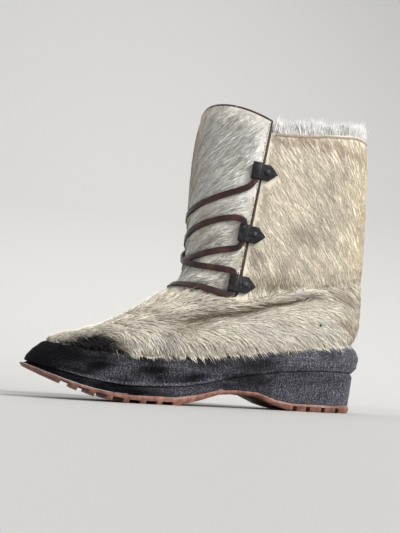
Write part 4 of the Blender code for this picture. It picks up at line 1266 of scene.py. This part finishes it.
def makeTongue():
    piece = copyOfNode("tongue", "tongue_hide")
    refine(piece, 4)
    places = placesOf(piece)
    inner = (outerShare(places, normalsOf(piece)) < 0.1)[:, None]
    paint(piece, "hairColour", np.where(inner, tongueHair["inside"], tongueColour(places) * 0.85))
    smoothShade(piece, 60)
    settle(piece, coatMaterial("silky_skin", (-0.7, 0, 0), 0.6), "silky_hide", "tongue")
    rng = np.random.default_rng(31)
    root, normal = rootsOn(piece, tongueHair["count"], rng, tongueKeep)
    hair = growStrands("tongue_hair", piece, tongueHair, root, normal, tongueLie, tongueColour(root), rng)
    settle(hair, hairMaterial("silky_hair", 0.34, 0.6), "silky_hide")
    return piece


tongueTrees = [treeOf(makeTongue()), bindingTree]
print("tongue ready")

# Collar: its edge, the white fringe and the fleece inside

collar = {
    "edgeWidth": 0.0024,
    "edgeProud": 0.0007,
    "fringeDepth": 0.020,  # how far below the collar's edge the fringe's band reaches
    "rise": 0.0135,
    "ragged": 0.0045,
    "underfur": 0.004,
    "throat": heelY - 0.0865,  # front end of the edge, beside the tongue
    "turn": 2.05,  # how far round the edge is looked for each way, in radians
    "steps": 170,
    "white": (0.97, 0.965, 0.945),
}
fringe = {"count": 8000, "inner": 500, "width": 0.0008, "taper": 0.7, "rings": (0.0, 0.35, 0.7),
          "rootShade": 0.88, "variety": 0.06,
          "band": (-0.009, 0.004),  # the roots' heights from the collar's edge
          "shortShare": 0.3, "shorter": 0.55,
          "wave": 0.35, "spread": 0.13, "outward": (0.05, 0.10), "inward": 0.34, "atThroat": 0.28,
          "sideBend": 0.0016, "outBend": (0.0006, 0.0012),
          "offTongue": 0.0012, "greying": 0.22}
fleece = {"count": 15000, "width": 0.0024, "length": 0.0045, "rings": (0.0,), "rootShade": 0.86,
          "variety": 0.06, "spread": 0.62, "offBinding": 0.0035, "lowest": 48,
          "colour": (0.80, 0.75, 0.65)}
shaftAxis = heelY - 0.070


def turnOf(places):
    return np.arctan2(places[:, 0], places[:, 1] - shaftAxis)


def makeCollarLine():
    # Height of the collar's edge by turn round the shaft, from the foot of the fringe's band
    places = placesOf(fringeBand)
    turns = turnOf(places)
    stops = np.linspace(turns.min(), turns.max() + 0.001, 27)
    which = np.digitize(turns, stops)
    groups = [which == k for k in range(1, len(stops)) if (which == k).any()]
    turns, low = np.array([(turns[group].mean(), places[group, 2].min()) for group in groups]).T
    return turns, low + collar["fringeDepth"]


fringeBand = copyOfNode("collar_fringe", "fringe_band")
lineTurns, lineHeights = makeCollarLine()


def collarHeight(turns):
    return np.interp(turns, lineTurns, lineHeights)


def sweptStrip(name, path, outward, halfWidth, proud):
    # Flat strip with a rounded face along a path; both ends are closed
    profile = ((-1.0, -0.6), (-1.0, 0.35), (-0.55, 0.9), (0.0, 1.0), (0.55, 0.9), (1.0, 0.35), (1.0, -0.6))
    along = np.gradient(path, axis=0)
    upward = unit(np.cross(outward, along))
    upward *= np.sign(upward[:, 2:3])
    points = []
    for i in range(len(path)):
        for w, h in profile:
            points.append(path[i] + upward[i] * w * halfWidth + outward[i] * h * proud)
    n = len(profile)
    faces = [tuple(range(n))]
    for i in range(len(path) - 1):
        for k in range(n):
            m = (k + 1) % n
            faces.append((i * n + k, (i + 1) * n + k, (i + 1) * n + m, i * n + m))
    faces.append(tuple((len(path) - 1) * n + k for k in reversed(range(n))))
    return pieceFrom(name, points, faces, 50)


def makeCollarEdge():
    path = []
    for turn in np.linspace(-collar["turn"], collar["turn"], collar["steps"]):
        height = float(collarHeight(turn)) - collar["edgeWidth"] * 0.55
        direction = Vector((math.sin(turn), math.cos(turn), 0))
        start = Vector((0, shaftAxis, height)) + direction * 0.2
        hit = hideTree.ray_cast(start, -direction)[0]
        onFarSide = hit is None or (hit - Vector((0, shaftAxis, 0))).dot(direction) <= 0.02
        if not onFarSide and hit.y > collar["throat"]:
            path.append(tuple(hit))
    path = np.array(path)
    along = np.gradient(path, axis=0)
    outward = unit(np.stack([along[:, 1], -along[:, 0], np.zeros(len(along))], 1))
    centre = np.array((0, shaftAxis, 0))
    outward *= np.sign(np.einsum("ij,ij->i", outward, path - centre))[:, None]
    piece = sweptStrip("collar_edge", path, outward, collar["edgeWidth"] / 2, collar["edgeProud"])
    stops = ((0.3, (0.22, 0.17, 0.13)), (0.7, (0.42, 0.345, 0.275)))
    tan = grainMaterial("tan_edge", (420.0, 4.0), stops, (420.0, 4.0, 0.0003, 1.0), Roughness=0.75)
    settle(piece, tan, "cream_hide")


def makeFringe():
    # White hair standing on the band inside the collar, over a low ridge of underfur
    rng = np.random.default_rng(41)
    band = fringeBand

    def keep(places, normals):
        above = places[:, 2] - collarHeight(turnOf(places))
        return ((above > fringe["band"][0]) & (above < fringe["band"][1])) * 1.0

    def keepByThroat(places, normals):
        inner = outerShare(places, normals) < 0.2
        return (inner & (places[:, 2] > 0.229) & (places[:, 1] < heelY - 0.082)) * 1.0

    root, normal = rootsOn(band, fringe["count"], rng, keep)
    more, moreNormal = rootsOn(hidePiece, fringe["inner"], rng, keepByThroat)
    root = np.concatenate([root, more])
    normal = np.concatenate([normal, moreNormal])
    count = len(root)
    line = collarHeight(turnOf(root))
    forward = 1 - softStep(heelY - 0.086, heelY - 0.074, root[:, 1])
    outward = unit(np.stack([root[:, 0], root[:, 1] - shaftAxis, np.zeros(count)], 1))
    tuft = noiseAt(root, (130, 130, 40), 2.2)
    reach = line + collar["rise"] + collar["ragged"] * (1.6 * tuft + rng.normal(0, 0.45, count)) - root[:, 2]
    short = rng.random(count) < fringe["shortShare"]
    reach = np.maximum(reach, 0.003) * (1 - fringe["shorter"] * short)
    side = np.cross(outward, np.array((0, 0, 1.0)))
    lean = noiseAt(root, 60, 8.8) * fringe["wave"] + rng.normal(0, fringe["spread"], count)
    facingIn = softStep(0.2, 0.7, -np.einsum("ij,ij->i", outward, normal))
    inward = fringe["inward"] * facingIn * (rng.random(count) < 0.7)
    outwards = rng.normal(*fringe["outward"], count) - fringe["atThroat"] * forward - inward
    direction = unit(outward * outwards[:, None] + side * lean[:, None] + np.array((0, 0, 1.0)))
    bend = side * rng.normal(0, fringe["sideBend"], (count, 1))
    bend = bend + outward * rng.normal(*fringe["outBend"], (count, 1))
    across = unit(np.cross(direction, rng.normal(0, 1, (count, 3))))
    other = np.cross(direction, across)
    width = fringe["width"] * chance(strandRules["widths"], count, rng)
    rings = []
    for share in fringe["rings"]:
        centre = root + direction * (reach * share)[:, None] + bend * share ** 2
        half = (width / 2 * (1 - share) ** fringe["taper"])[:, None]
        rings += ringsRound(centre, across, other, half)
    rings.append(root + direction * reach[:, None] + bend)
    off = fringe["offTongue"]
    clear = np.array([
        all(tree.find_nearest(Vector(place), off)[0] is None for tree in tongueTrees for place in trio)
        for trio in zip(rings[3], rings[6], rings[-1])])
    for share in (0.15, 0.3, 0.45, 0.6):
        for i, place in enumerate(root + direction * (reach * share)[:, None] + bend * share ** 2):
            if clear[i] and place[2] < line[i] + 0.001:
                near, facing = hideTree.find_nearest(Vector(place))[:2]
                away = Vector(outward[i])
                clear[i] = facing.dot(away) < 0.3 or (Vector(place) - near).dot(facing) < -0.0002
    rings = [ring[clear] for ring in rings]
    root = root[clear]
    count = len(root)
    grey = fringe["greying"] * softStep(0.1, 0.5, noiseAt(root, (70, 70, 8), 4.4))
    white = np.tile(collar["white"], (count, 1)) * (1 - grey)[:, None]
    piece = strandPiece("collar_hair", rings, fringe, white, rng)
    places = placesOf(band)
    line = collarHeight(turnOf(places))
    places[:, 2] = np.minimum(places[:, 2], line + collar["underfur"])
    setPlaces(band, places)
    paint(band, "hairColour", np.tile(np.array(collar["white"]) * 0.8, (len(places), 1)))
    hair = hairMaterial("white_hair", 0.55, 0.3)
    settle(piece, hair, "white_hair", "collar_fringe")
    settle(band, hair, "white_hair")


def makeFleece():
    # Short curly pile on the lining
    rng = np.random.default_rng(51)

    def keep(places, normals):
        height = places[:, 2] / mm
        below = places[:, 2] < collarHeight(turnOf(places)) - 0.0085
        lining = outerShare(places, normals) < -0.3
        near = np.flatnonzero(lining & (creaseShare(places, 10.0) > 0.05))
        lining[near] = ~facesOut(places[near], normals[near])
        return lining * (height > fleece["lowest"]) * below * (0.5 + softStep(120, 200, height))

    root, normal = rootsOn(hidePiece, fleece["count"], rng, keep)
    sideways = rng.normal(0, fleece["spread"], (len(root), 3))
    sideways -= normal * np.einsum("ij,ij->i", sideways, normal)[:, None]
    away = unit(normal + sideways)
    away *= (fleece["length"] * (0.5 + rng.random(len(root))))[:, None]
    off = fleece["offBinding"]
    clear = np.array([all(bindingTree.find_nearest(Vector(place), off)[0] is None for place in pair)
                      for pair in zip(root, root + away)])
    root, away = root[clear], away[clear]
    count = len(root)
    across = unit(np.cross(away, rng.normal(0, 1, (count, 3))))
    other = np.cross(unit(away), across)
    rings = ringsRound(root, across, other, fleece["width"] / 2)
    rings.append(root + away)
    colour = np.array(fleece["colour"])[None] * (1 + 0.2 * noiseAt(root, 120, 6.1))[:, None]
    piece = strandPiece("lining_fleece", rings, fleece, colour, rng)
    settle(piece, hairMaterial("fleece", 0.9, 0.1), "felt")


makeCollarEdge()
makeFringe()
makeFleece()
print("collar ready")
